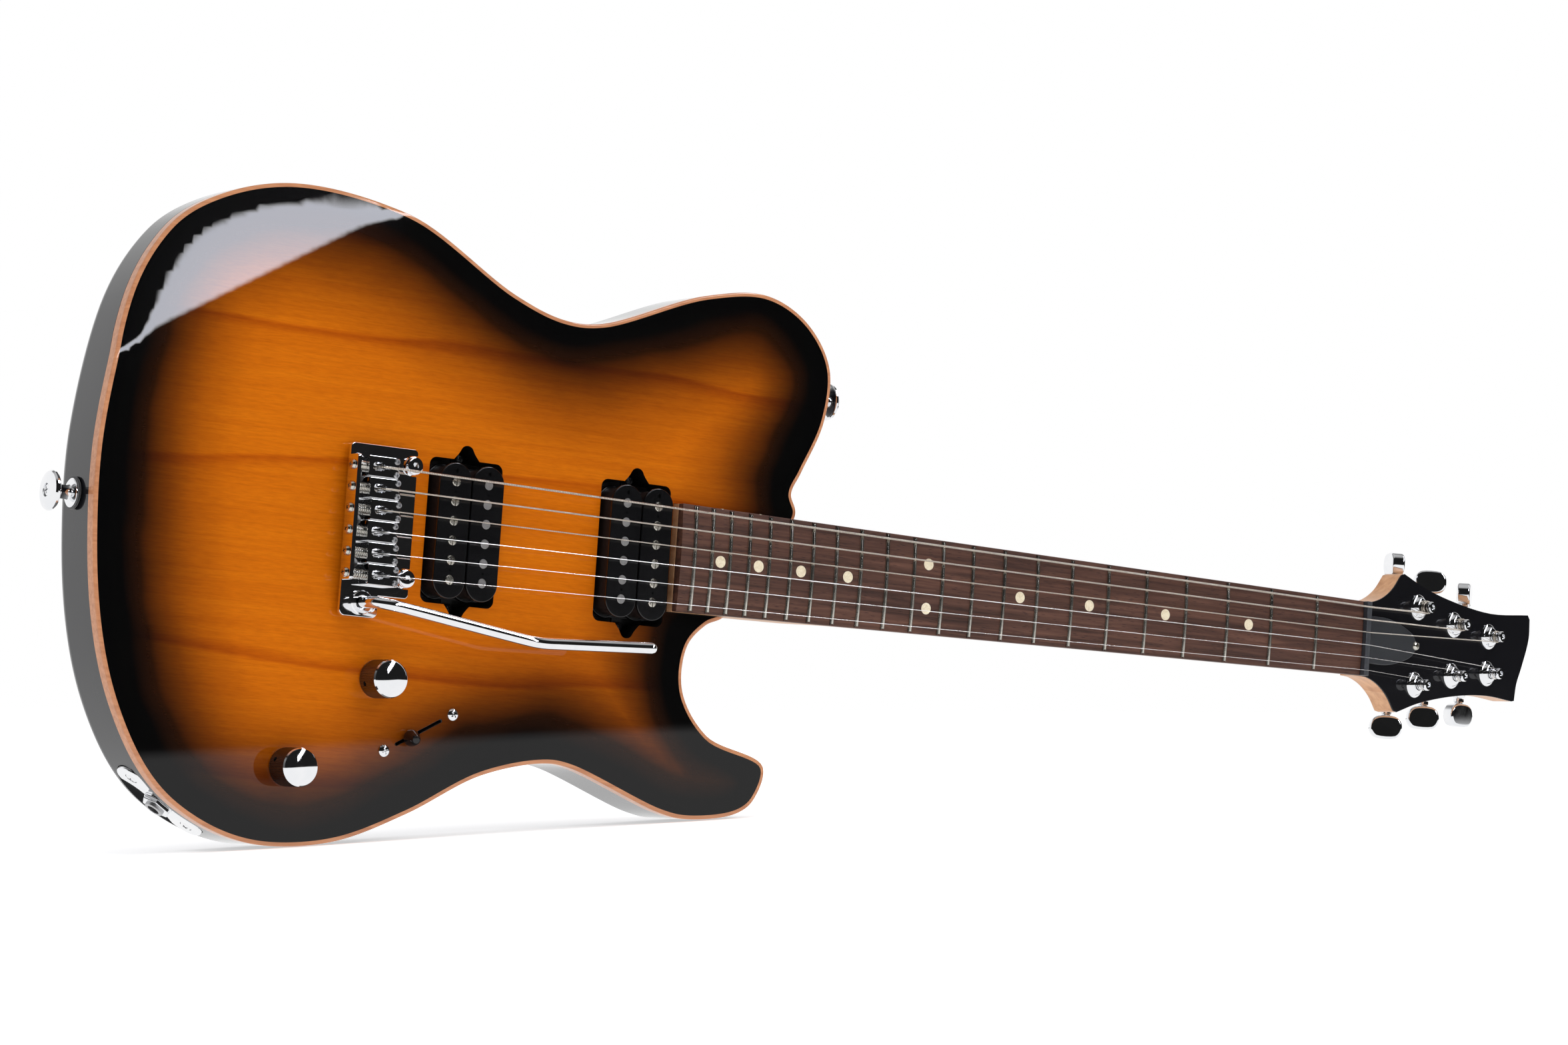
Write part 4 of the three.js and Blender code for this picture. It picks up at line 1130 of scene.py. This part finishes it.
def tuner(index):
    """A tuning machine: a gear case behind the headstock, a bushing and a waisted post through it,
    and a button on the worm's shaft at the side."""
    number = STRING_COUNT - index
    along, side, turn = TUNERS[index]
    outward = 1 if side > 0 else -1
    top = -HEAD_THICKNESS - 0.3
    worm = Matrix.Translation((along, side, -WORM_BELOW_FACE)) @ turned("X", -90 * outward)
    case = prism(rounded_rectangle(along - 7, along + 7, side - 8, side + 8, 4), top - 10, top, 1.6, 4)
    sleeve = lathe([(0, 0), (4.2, 0), (4.2, 12.5), (3.7, 13.2), (3.7, 14.2), (3.2, 15), (0, 15)])
    lug = prism(circle(along - 9.5, side, 3.2, 24), top - 1.8, top, 0.4, 2)
    piece(f"tuner_housing_{number}", on_head(case), CHROME,
          adds=[on_head(moved(sleeve, worm)), on_head(lug)], sharp=35)
    cross_screw(f"tuner_screw_{number}", *(HEAD @ Vector((along - 10, side, top - 1.7))), -HEAD_UP, 1.9, 0.9)
    ring = [(POST_RADIUS + 0.35, 0), (7.6, 0), (7.6, 0.5), (7.1, 1.1), (6.2, 1.5), (5.9, 2.1),
            (5.3, 3.1), (4.3, 3.7), (POST_RADIUS + 0.35, 3.8)]
    bushing = HEAD @ Matrix.Translation((along, side, 0.02))
    piece(f"tuner_bushing_{number}", moved(lathe(ring, 48), bushing), CHROME, sharp=30)
    foot = -HEAD_THICKNESS - 5
    post = [(0, foot), (POST_RADIUS, foot), (POST_RADIUS, 4.8), (2.75, 5.6), (2.5, 6.6), (2.6, 7.6),
            (3.3, 8.6), (3.4, 9.2), (3.3, 10.4), (2.9, POST_HEIGHT), (1.6, POST_HEIGHT),
            (1.4, POST_HEIGHT - 0.8), (0, POST_HEIGHT - 0.9)]
    shaft = HEAD @ Matrix.Translation((along, side, 0))
    piece(f"tuner_post_{number}", moved(lathe(post, 32), shaft), CHROME, f"post_{number}", sharp=30)
    half = [(4.3, 0.1), (7.4, 1.6), (9.1, 4.2), (9.6, 7), (9.3, 9.6), (7.9, 11.9), (5.6, 13.4)]
    outline = spline(half + [(-x, y) for x, y in half[::-1]], 4)
    grip = shifted(prism(outline, -4, 4, 1.5, 5), 0, 18.5)
    spindle = moved(lathe([(0, 9.5), (2.1, 9.5), (2.1, 15.3), (3.1, 15.5), (3.1, 17.4), (2.5, 18),
                           (2.5, 21), (0, 21)], 28), turned("X", -90))
    spin = Matrix.Translation((along, side, -WORM_BELOW_FACE))
    spin = spin @ turned("Z", 0 if outward > 0 else 180) @ turned("Y", turn)
    piece(f"tuner_button_{number}", moved(grip, HEAD @ spin), CHROME, f"button_{number}",
          adds=[moved(spindle, HEAD @ spin)], sharp=35)


# ---- Strings ----


def saddle_x(index):
    return -SCALE_LENGTH - SADDLE_SETBACK[index]


def wraps_on_post(index):
    """The string's turns round its post, from the first touch to the hole."""
    along, side, _ = TUNERS[index]
    outward = 1 if side > 0 else -1
    radius = STRING_RADII[index]
    turns = 2.6
    points = []
    for share in np.linspace(0, 1, int(turns * 16) + 1):
        angle = outward * (-math.pi / 2 + 2 * math.pi * turns * share)
        reach = 2.75 + radius + 0.35 * share
        height = 7.4 - turns * 2 * radius * share * 1.02
        x, y = along + reach * math.cos(angle), side + reach * math.sin(angle)
        points.append(HEAD @ Vector((x, y, height)))
    return points


def guitar_string(index):
    number = STRING_COUNT - index
    nut_y = string_side(index, STRING_SPREAD_AT_NUT)
    bridge_y = string_side(index, STRING_SPREAD_AT_BRIDGE)
    x, low, top = saddle_x(index), STRING_HEIGHT_AT_NUT, STRING_HEIGHT_AT_BRIDGE
    hole = x - SADDLE_HOLE
    over_nut = [(NUT_LENGTH + 0.2, nut_y, low - 0.35), (2.4, nut_y, low - 0.05), (0, nut_y, low)]
    shares = np.linspace(0, 1, 14)[1:-1]
    free = [(s * (x + 1.2), nut_y + (bridge_y - nut_y) * s, low + (top - low) * s) for s in shares]
    over_saddle = [
        (x + 1.2, top), (x - 0.6, top - 0.05), (x - 2.4, top - 0.35), (x - 4, top - 1), (x - 6, top - 3.2),
        (hole + 0.5, top - 7), (hole, PLATE_TOP - 4), (hole, PLATE_TOP - 14),
    ]
    path = [*wraps_on_post(index)[::-1], *over_nut, *free, *((x, bridge_y, z) for x, z in over_saddle)]
    look = WOUND[index] if index < len(WOUND) else PLAIN
    obj = piece(f"string_{number}", tube(path, STRING_RADII[index], 10), look, None, sharp=60)
    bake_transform(obj)


# ---- Bridge ----


def bridge_plate():
    """The plate on the two studs, with a flange at its rear and a socket for the arm."""
    bottom = PLATE_TOP - PLATE_THICKNESS
    plate = prism(rounded_rectangle(PLATE_REAR, -633, -37, 38.5, 2.2), bottom, PLATE_TOP, 0.45, 3)
    tab = prism(rounded_rectangle(PLATE_REAR, -650, -48.3, -30, 3), bottom, PLATE_TOP, 0.45, 3)
    flange = prism(rounded_rectangle(-30.5, 32.5, bottom + 0.3, 3.2, 1.5), 0, 2.3, 0.4, 3)
    upright = Matrix.Translation((PLATE_REAR, 0, 0)) @ ACROSS
    socket = shifted(lathe([(0, bottom), (6.1, bottom), (6.1, PLATE_TOP + 1.6), (5.6, PLATE_TOP + 2.2),
                            (0, PLATE_TOP + 2.2)], 48), ARM_SOCKET.x, ARM_SOCKET.y)
    cuts = [shifted(prism(circle(0, 0, 3.7, 32), bottom + 0.8, 10), ARM_SOCKET.x, ARM_SOCKET.y)]
    for y in PIVOT_STUDS:
        cuts.append(prism(circle(PIVOT_X, y, 5.2, 32), -20, 0))
        cuts.append(block(PIVOT_X, -630, y - 5.2, y + 5.2, -20, 0))
    for i in range(STRING_COUNT):
        y = string_side(i, STRING_SPREAD_AT_BRIDGE)
        cuts.append(prism(circle(saddle_x(i) - SADDLE_HOLE, y, 1.8, 20), -20, 0))
    for between in (0.5, 2.5, 4.5):
        y = string_side(between, STRING_SPREAD_AT_BRIDGE)
        cuts.append(prism(circle(-665.8, y, 2.6, 28), bottom - 1, 0))
    piece("bridge_plate", plate, CHROME, "bridge", adds=[tab, moved(flange, upright), socket], cuts=cuts,
          sharp=30)
    cross_screw("arm_screw", -653.6, -43.2, PLATE_TOP, radius=2.2, height=1.1, body="bridge", turn=35)


def saddle(index):
    """A block saddle, slotted for its string, with two screws for its height."""
    number = STRING_COUNT - index
    x, y = saddle_x(index), string_side(index, STRING_SPREAD_AT_BRIDGE)
    low, rear, front, width = PLATE_TOP + 0.3, x - 12.5, x + 5.5, 10.3
    crown = STRING_HEIGHT_AT_BRIDGE - STRING_RADII[index] - 0.3
    nose = spline([(x + 2.5, crown), (x + 4.2, crown - 0.3), (front, crown - 1.3)], 4, False)
    side = [(rear, low), (front, low), *nose[::-1], (rear, crown)]
    block_solid = prism(side, -width / 2, width / 2)
    turn = Matrix.Translation((0, y, 0)) @ turned("X", 90)
    wide = prism(rounded_rectangle(x - 10.2, x - 3.4, y - 2.2, y + 2.2, 1.9, 6), -20, 20)
    narrow = prism(rounded_rectangle(x - 6, x + 0.4, y - 1.0, y + 1.0, 0.9, 5), -20, 20)
    screw_holes = [prism(circle(x + 3.4, y + s, 1.55, 20), -20, 20) for s in SADDLE_SCREWS]
    piece(f"saddle_{number}", moved(block_solid, turn), CHROME, "bridge", bevel=0.35, sharp=30,
          late_cuts=[wide, narrow, *screw_holes])
    head = crown + 0.7
    socket = prism(circle(0, 0, 0.75, 6), head - 1, head + 1)
    screw = lathe([(0, low + 0.1), (1.5, low + 0.1), (1.5, head - 0.35), (1.15, head), (0, head)], 24)
    for side_number, s in enumerate(SADDLE_SCREWS, 1):
        piece(f"height_screw_{number}_{side_number}", screw, STEEL, "bridge", row_place(x + 3.4, y + s),
              cuts=[socket])
    intonation_screw(number, y, rear)


def intonation_screw(number, y, saddle_rear):
    """A screw through the plate's flange into the saddle, inside a coil spring."""
    z, coil_start, radius = -0.9, -669.0, 2.05
    cross_screw(f"intonation_screw_{number}", PLATE_REAR - 0.1, y, z, (-1, 0, 0), 2.5, 1.9, "bridge",
                12 * number, look=NICKEL)
    length = saddle_rear - 0.3 - coil_start
    angles = np.linspace(0, 2 * math.pi * 5.5, 90)
    coil = [(coil_start + length * a / angles[-1], y + radius * math.cos(a), z + radius * math.sin(a))
            for a in angles]
    piece(f"intonation_spring_{number}", tube(coil, 0.38, 7), NICKEL, "bridge", sharp=60)
    rod = tube([(-670, y, z), (saddle_rear + 1, y, z)], 1.2, 12)
    piece(f"intonation_rod_{number}", rod, STEEL, "bridge")


def pivot_stud(side, y):
    """A threaded stud whose groove takes the plate's edge."""
    profile = [(0, -34), (5, -34), (5, -10), (3.2, -9.5), (3.2, -3.9), (4.3, -3.7), (4.6, -3.3),
               (4.6, -1.8), (4.3, -1.2), (3.7, -1), (0, -1)]
    socket = prism(circle(0, 0, 1.9, 6), -3.4, 0)
    piece(f"pivot_stud_{side}", lathe(profile, 40), CHROME, place=row_place(PIVOT_X, y), cuts=[socket])


def tremolo_arm():
    x, y = ARM_SOCKET.x, ARM_SOCKET.y
    path = spline([
        (x, y, PLATE_TOP - 1), (x, y, 6), (x + 0.9, y - 0.1, 9.2), (x + 3.4, y - 0.5, 12),
        (x + 7.5, y - 1, 13.8), (x + 12, y - 1.6, 14.4), (x + 84, y - 11.5, 17.8), (x + 90, y - 12.2, 18.5),
        (x + 95.5, y - 12.4, 19.8), (x + 101, y - 12.2, 21.4), (x + 149.5, y - 10.2, 33.6),
    ], 8, False)
    piece("tremolo_arm", tube(path, 2.95, 28, True), CHROME, "tremolo_arm", sharp=60)


def springs():
    """Three springs in the back, from hooks in the block to the claw."""
    low, high = span("tremolo_spring_1")
    z, radius, wire_radius = (low[2] + high[2]) / 2, 3.4, 0.6
    start, end = low[0] + 6, high[0] - 5
    middle = (low[1] + high[1]) / 2
    for number, y in enumerate((middle, -middle, 0), 1):
        angles = np.linspace(0, 2 * math.pi * 26, 26 * 12)
        coil = [(start + (end - start) * a / angles[-1], y + radius * math.sin(a), z + radius * math.cos(a))
                for a in angles]
        first = [(low[0] + 0.6, y, z + 2.6), (low[0] + 0.6, y, z + 0.4), (low[0] + 3, y, z + 0.4),
                 (low[0] + 4.6, y, z + 2)]
        last = [(high[0] - 3.6, y, z + 2), (high[0] - 2.5, y, z + 0.2), (high[0] - 0.8, y, z + 0.2),
                (high[0] - 0.6, y, z + 2.4)]
        wire = tube([*first, *coil, *last], wire_radius, 7)
        obj = piece(f"tremolo_spring_{number}", wire, STEEL, None, sharp=60)
        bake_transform(obj)


# ---- Pickups ----


def pickup(name, x):
    """Two bobbins side by side on a base plate, one row of screws and one row of slugs."""
    top, spread = -2.5, 50
    centres = (x - 9.6, x + 9.6)
    screw_row = 0 if name == "bridge" else 1
    flange = joined([
        prism(rounded_rectangle(c - 9.2, c + 9.2, -34.5, 34.5, 9.0, 14), z, z + 1.7, 0.5, 3)
        for c in centres for z in (top - 1.7, -19)
    ])
    coil = joined([
        prism(rounded_rectangle(c - 8.1, c + 8.1, -33.2, 33.2, 8.0, 12), -17.2, top - 1.75) for c in centres
    ])
    plate = prism(rounded_rectangle(x - 18.8, x + 18.8, -34, 34, 2), -22, -19.05, 0.3, 2)
    ears = prism(rounded_rectangle(x - 3, x + 3, -41, 41, 2.5), -22, -20.6)
    holes = []
    for centre in centres:
        holes.append(block(centre - 0.9, centre + 0.9, 29.6, 31.6, top - 1, 1))
        for y in (string_side(0, spread) - 5, string_side(5, spread) + 5):
            holes.append(prism(circle(centre, y, 0.7, 14), top - 1, 1))
    piece(f"pickup_{name}", flange, BOBBIN, cuts=holes, sharp=35)
    piece(f"pickup_{name}_coils", coil, COIL, sharp=35)
    piece(f"pickup_{name}_base", plate, BLACK_STEEL, adds=[ears], sharp=35)
    for i in range(STRING_COUNT):
        y = string_side(i, spread)
        for row, centre in enumerate(centres):
            place = row_place(centre, y)
            if row == screw_row:
                pole = lathe([(0, -21), (1.6, -21), (1.6, top), (2.45, top + 0.02), (2.45, top + 0.45),
                              (2.1, top + 0.75), (0, top + 0.9)], 30)
                slot = block(-0.32, 0.32, -3, 3, top + 0.2, top + 2)
                angle = turned("Z", 6 * math.sin(3.1 * i))
                piece(f"pole_screw_{name}_{i + 1}", pole, NICKEL, cuts=[slot], place=place @ angle)
            else:
                slug = lathe([(0, -20), (2.4, -20), (2.4, top + 0.12), (2.2, top + 0.3), (0, top + 0.3)], 30)
                piece(f"pole_slug_{name}_{i + 1}", slug, SLUG, place=place)
    for side, y in (("bass", 38.2), ("treble", -38.2)):
        cross_screw(f"pickup_{name}_screw_{side}", x, y, -18.5, radius=2.4, height=1.4, turn=30,
                    look=BLACK_STEEL)


# ---- Controls ----


def knob(name, at, mark):
    """A domed metal knob with a knurled side and a hole for a set screw, which faces the mark's angle."""
    low, teeth = BODY_TOP + 0.5, 144
    profile = [(3.0, -15), (3.0, -3.2), (6.8, -3.2), (6.8, low), (9.3, low), (9.7, low + 0.5),
               (9.7, low + 1.2), (9.7, 4.8), (9.6, 5.4), (9.1, 6.3), (7.9, 7.05), (5.4, 7.8), (2.7, 8.15)]
    profile = [(0, -15), *profile, (0, 8.2)]
    vertices, faces = lathe(profile, teeth)
    radius = np.hypot(vertices[:, 0], vertices[:, 1])
    knurled = (radius > 9.65) & (vertices[:, 2] > low + 0.8) & (vertices[:, 2] < 5)
    tooth = np.round(np.arctan2(vertices[:, 1], vertices[:, 0]) / (2 * math.pi / teeth)).astype(int) % 2
    vertices[knurled & (tooth == 1), :2] *= 0.965
    place = row_place(at.x, at.y)
    sideways = Matrix.Translation((0, 0, -4.5)) @ turned("Z", mark) @ turned("Y", 90)
    hole = moved(prism(circle(0, 0, 1.3, 20), 6, 12), sideways)
    obj = piece(f"{name}_knob", (vertices, faces), [CHROME, ROUT, KNURL], f"{name}_knob", place, 24,
                cuts=[(hole, ROUT)])
    # The knurled band takes the dark metal, with its grooves' shade painted in
    for face in obj.data.polygons:
        centre = place.inverted() @ face.center / MM
        if math.hypot(centre.x, centre.y) > 9 and low + 0.4 < centre.z < 5.2:
            face.material_index = 2


def at_switch(solid):
    return moved(solid, Matrix.Translation((SWITCH.x, SWITCH.y, 0)) @ turned("Z", SWITCH_ANGLE))


def switch():
    """The pickup selector's lever and slot, with a screw beyond each end."""
    lean = Matrix.Translation((0, 0, SWITCH.z)) @ turned("Y", SWITCH_REST)
    blade = moved(block(-2.9, 2.9, -0.55, 0.55, -3, 25), lean)
    tip = moved(lathe([(0, 22.3), (2.4, 22.3), (3.9, 23), (4.3, 24.2), (4.1, 26), (3.2, 29.4), (2.5, 31.8),
                       (1.7, 32.8), (0, 33.1)], 40), lean)
    piece("switch_lever", at_switch(tip), BOBBIN, "switch_lever", adds=[at_switch(blade)], sharp=40)
    slot = prism(rounded_rectangle(-14.8, 14.8, -1.05, 1.05, 0.5, 3), CAP_BOTTOM - 2, BODY_TOP - 0.15)
    opening = prism(rounded_rectangle(-14.4, 14.4, -0.75, 0.75, 0.4, 3), -60, 0)
    piece("switch_slot_liner", at_switch(slot), ROUT, cuts=[at_switch(opening)])
    for number, along in enumerate((-22, 21.7), 1):
        x, y, _ = turned("Z", SWITCH_ANGLE) @ Vector((along, 0, 0))
        cross_screw(f"switch_screw_{number}", SWITCH.x + x, SWITCH.y + y, BODY_TOP, radius=3.1, height=1.7,
                    turn=20 * number)


def jack():
    """The plate on the lower edge, its two screws and the output jack behind it."""
    outline = rounded_rectangle(-27, 27, -11.5, 11.5, 11.4, 12)
    hole = at_jack(prism(circle(0, 0, 5.3, 32), -5, 5))
    sinks = [at_jack(prism(circle(x, 0, 3.4, 24), -0.7, 5)) for x in (-19, 19)]
    piece("jack_plate", at_jack(prism(outline, -2, 0, 0.6, 4)), CHROME,
          cuts=[hole, *sinks], sharp=35)
    for number, x in enumerate((-19, 19), 1):
        place = JACK + JACK_ALONG * x + JACK_OUT * (JACK_RAISE - 0.65)
        cross_screw(f"jack_screw_{number}", *place, JACK_OUT, 3.2, 1.3, turn=33 * number)
    barrel = lathe([(3.2, -30), (8.5, -30), (8.5, -2.4), (5, -2.4), (5, 4.3), (4.7, 4.6), (3.2, 4.6)], 36)
    nut_ring = prism(circle(0, 0, 8.0, 6), 1.0, 3.2, 0.4, 2)
    washer = prism(circle(0, 0, 7.9, 36), 0.02, 0.95, 0.2, 2)
    bore = prism(circle(0, 0, 5.02, 36), -1, 6)
    piece("output_jack", at_jack(barrel), STEEL, sharp=30)
    piece("jack_nut", at_jack(nut_ring), CHROME, cuts=[at_jack(bore)], sharp=30)
    piece("jack_washer", at_jack(washer), CHROME, cuts=[at_jack(bore)], sharp=30)


def strap_button(name, side, x, y):
    """A button turned about the direction side, with a felt washer and its screw."""
    place = Matrix.Translation((x, y, EDGE_MIDDLE_Z)) @ turned("Y", 90 * side)
    profile = [(0, 1.3), (7, 1.3), (7.2, 1.7), (6.4, 2.3), (3.9, 3.2), (3.5, 4.4), (3.5, 7.4), (4.1, 8.8),
               (9.2, 11.2), (9.9, 12), (9.95, 13), (9.3, 14), (7.6, 14.7), (4, 15), (0, 15)]
    recess = moved(prism(circle(0, 0, 3.4, 28), 13.6, 17), place)
    piece(f"strap_button_{name}", moved(lathe(profile, 48), place), CHROME, cuts=[recess], sharp=30)
    washer = [(3, 0.05), (7.9, 0.05), (8.2, 0.5), (8, 1.25), (3, 1.25)]
    piece(f"strap_felt_{name}", moved(lathe(washer, 40), place), FELT)
    cross_screw(f"strap_screw_{name}", *(place @ Vector((0, 0, 13.6))), (side, 0, 0), 3.2, 1.3, turn=15)


def back_covers():
    """Flat covers over the spring and control cavities, each with six screws."""
    spring_screws = [(-670, 33), (-670, -33), (-541, 33), (-541, -33), (-606, 33.5), (-606, -33.5)]
    control_screws = [
        (-727, -121), (-690, -143.5), (-640, -135), (-595, -103), (-640, -67), (-708, -103.5),
    ]
    covers = (
        ("spring_cover", spring_outline(4), spring_screws),
        ("control_cover", control_outline(5), control_screws),
    )
    for name, outline, screws in covers:
        piece(name, prism(outline, BODY_BACK, BODY_BACK + 2, 0.35, 2), COVER, sharp=35)
        for number, (x, y) in enumerate(screws, 1):
            cross_screw(f"{name}_screw_{number}", x, y, BODY_BACK + 0.1, (0, 0, -1), 2.4, 0.9,
                        turn=23 * number, look=STEEL)


# ---- Inner parts keep their CAD shape and get a finish ----


def dress_inner_parts():
    looks = {
        "truss_rod": STEEL, "sustain_block": STEEL, "spring_claw": STEEL, "switch_body": BOBBIN,
        "volume_potentiometer": STEEL, "tone_potentiometer": STEEL,
    }
    for name, look in looks.items():
        obj = NODES[name]
        obj.data.materials.clear()
        obj.data.materials.append(look)
        add_bevel(obj, 0.3, 40)


body_top()
body_back()
neck()
fingerboard()
frets()
position_dots()
nut()
truss_rod_cover()
neck_plate()
for string_index in range(STRING_COUNT):
    tuner(string_index)
    guitar_string(string_index)
    saddle(string_index)
bridge_plate()
for stud_side, stud_y in zip(("bass", "treble"), PIVOT_STUDS):
    pivot_stud(stud_side, stud_y)
tremolo_arm()
springs()
for pickup_name, pickup_x in PICKUPS.items():
    pickup(pickup_name, pickup_x)
knob("volume", VOLUME, 200)
knob("tone", TONE, 160)
switch()
jack()
strap_button("end", -1, span("strap_button_end")[1][0], -1)
strap_button("horn", 1, span("strap_button_horn")[0][0], 96)
back_covers()
dress_inner_parts()

# ---- Stage ----

# The camera's place, target and up direction, in the guitar's axes
CAMERA_AT = (-1766.4, -179.5, 1986.4)
CAMERA_TARGET = (-411.1, 24.8, 0)
CAMERA_UP = (-0.10328, 0.99414, 0.03177)
CAMERA_LENS = 104.6
SOFT_BOX_POWER = 19.0
# The floor's sides, in metres in the row frame
FLOOR_LEFT, FLOOR_RIGHT, FLOOR_NEAR, FLOOR_FAR = -4.0, 1.2, -1.7, 4.0


def area_light(name, location, target, width, height, power):
    data = bpy.data.lights.new(name, "AREA")
    data.shape = "RECTANGLE"
    data.size, data.size_y = width, height
    data.energy = power
    light = bpy.data.objects.new(name, data)
    light.location = location
    light.rotation_mode = "QUATERNION"
    light.rotation_quaternion = (Vector(target) - Vector(location)).to_track_quat("-Z", "Y")
    light.visible_camera = False
    light.visible_glossy = False
    bpy.context.scene.collection.objects.link(light)


def studio_world():
    """White to the camera and soft light on matt surfaces. Mirror surfaces see a dark room in
    front, a white backdrop behind and one large soft box in front, above and to the right."""
    world = bpy.data.worlds.new("studio")
    bpy.context.scene.world = world
    world.use_nodes = True
    room = Nodes(world.node_tree)
    coordinates = room.node("ShaderNodeTexCoord").outputs["Generated"]
    direction = room.node("ShaderNodeSeparateXYZ", _0=coordinates).outputs

    def ease(value, low, high, to_low=0.0, to_high=1.0):
        return room.range(value, low, high, to_low, to_high, "SMOOTHSTEP")

    def product(*values):
        result = values[0]
        for value in values[1:]:
            result = room.math("MULTIPLY", result, value)
        return result

    x, y, z = direction["X"], direction["Y"], direction["Z"]
    backdrop = product(ease(y, 0.0, 0.3), ease(z, 0.55, 0.8, 1.0, 0.2))
    ceiling = ease(z, 0.75, 0.95, 0.012, 0.5)
    leaning = room.math("SUBTRACT", z, product(room.math("SUBTRACT", x, 0.34), 1.15))
    soft_box = product(
        ease(leaning, 0.24, 0.31), ease(leaning, 0.43, 0.49, 1.0, 0.0),
        ease(x, 0.27, 0.3), ease(x, 0.6, 0.7, 1.0, 0.0), ease(y, -0.3, 0.0, 1.0, 0.0),
    )
    light = room.math("ADD", room.math("MAXIMUM", backdrop, ceiling), product(soft_box, SOFT_BOX_POWER))
    tint = room.mix(soft_box, (1.0, 1.0, 1.0), (0.88, 0.9, 1.0))
    mirrored = room.node("ShaderNodeVectorMath", {"operation": "SCALE"}, _0=tint, Scale=light).outputs[0]
    ray = room.node("ShaderNodeLightPath").outputs
    soft = room.mix(ray["Is Glossy Ray"], (0.5, 0.5, 0.51), mirrored)
    seen = room.mix(ray["Is Camera Ray"], soft, (1.0, 1.0, 1.0))
    room.put(world.node_tree.nodes["Background"].inputs[0], seen)


def floor():
    """A white floor. Mirror surfaces see it end softly in front and to the right."""
    look = Look("floor", (0.93, 0.93, 0.94), 0.6)
    fine = look.noise(look.coordinates(), 40, 3)
    look.surface({
        "Specular IOR Level": 0.0, "Roughness": look.range(fine, 0.3, 0.7, 0.55, 0.7),
        "Emission Color": (1, 1, 1), "Emission Strength": 0.5,
    })
    place = look.node("ShaderNodeNewGeometry").outputs["Position"]
    axes = look.node("ShaderNodeSeparateXYZ", Vector=place).outputs
    fade = look.math("MULTIPLY", look.range(axes["Y"], -1.62, -1.35), look.range(axes["X"], 0.75, 1.0, 1, 0))
    shine = look.node("ShaderNodeEmission", Strength=fade)
    is_mirrored = look.node("ShaderNodeLightPath").outputs["Is Glossy Ray"]
    mixed = look.node("ShaderNodeMixShader", _0=is_mirrored, _1=look.shader.outputs[0], _2=shine.outputs[0])
    look.put(look.tree.nodes["Material Output"].inputs["Surface"], mixed.outputs[0])
    mesh = bpy.data.meshes.new("floor")
    corners = [(FLOOR_LEFT, FLOOR_NEAR, 0), (FLOOR_RIGHT, FLOOR_NEAR, 0), (FLOOR_RIGHT, FLOOR_FAR, 0),
               (FLOOR_LEFT, FLOOR_FAR, 0)]
    mesh.from_pydata(corners, [], [(0, 1, 2, 3)])
    mesh.materials.append(look.material)
    obj = bpy.data.objects.new("floor", mesh)
    obj.location.z = cad_low.z - 0.0005
    bpy.context.scene.collection.objects.link(obj)


def camera():
    data = bpy.data.cameras.new("camera")
    data.lens = CAMERA_LENS
    data.sensor_width = 36
    data.clip_end = 50
    obj = bpy.data.objects.new("camera", data)
    place = PLACE @ Matrix.Translation(Vector(CAMERA_AT) * MM)
    back = (PLACE.to_3x3() @ (Vector(CAMERA_AT) - Vector(CAMERA_TARGET))).normalized()
    up = PLACE.to_3x3() @ Vector(CAMERA_UP)
    right = up.cross(back).normalized()
    turn = Matrix((right, back.cross(right), back)).transposed().to_4x4()
    obj.matrix_world = Matrix.Translation(place.translation) @ turn
    bpy.context.scene.collection.objects.link(obj)
    bpy.context.scene.camera = obj


studio_world()
floor()
camera()
area_light("overhead", (0.0, -0.6, 2.6), (0, 0, 0.1), 2.6, 1.8, 30)
area_light("front_box", (0.6, -2.4, 1.5), (0, 0, 0.15), 1.2, 0.9, 16)
area_light("left_box", (-2.6, -0.8, 1.0), (-0.3, 0, 0.15), 1.4, 1.6, 9)
bpy.context.scene.view_settings.view_transform = "Standard"
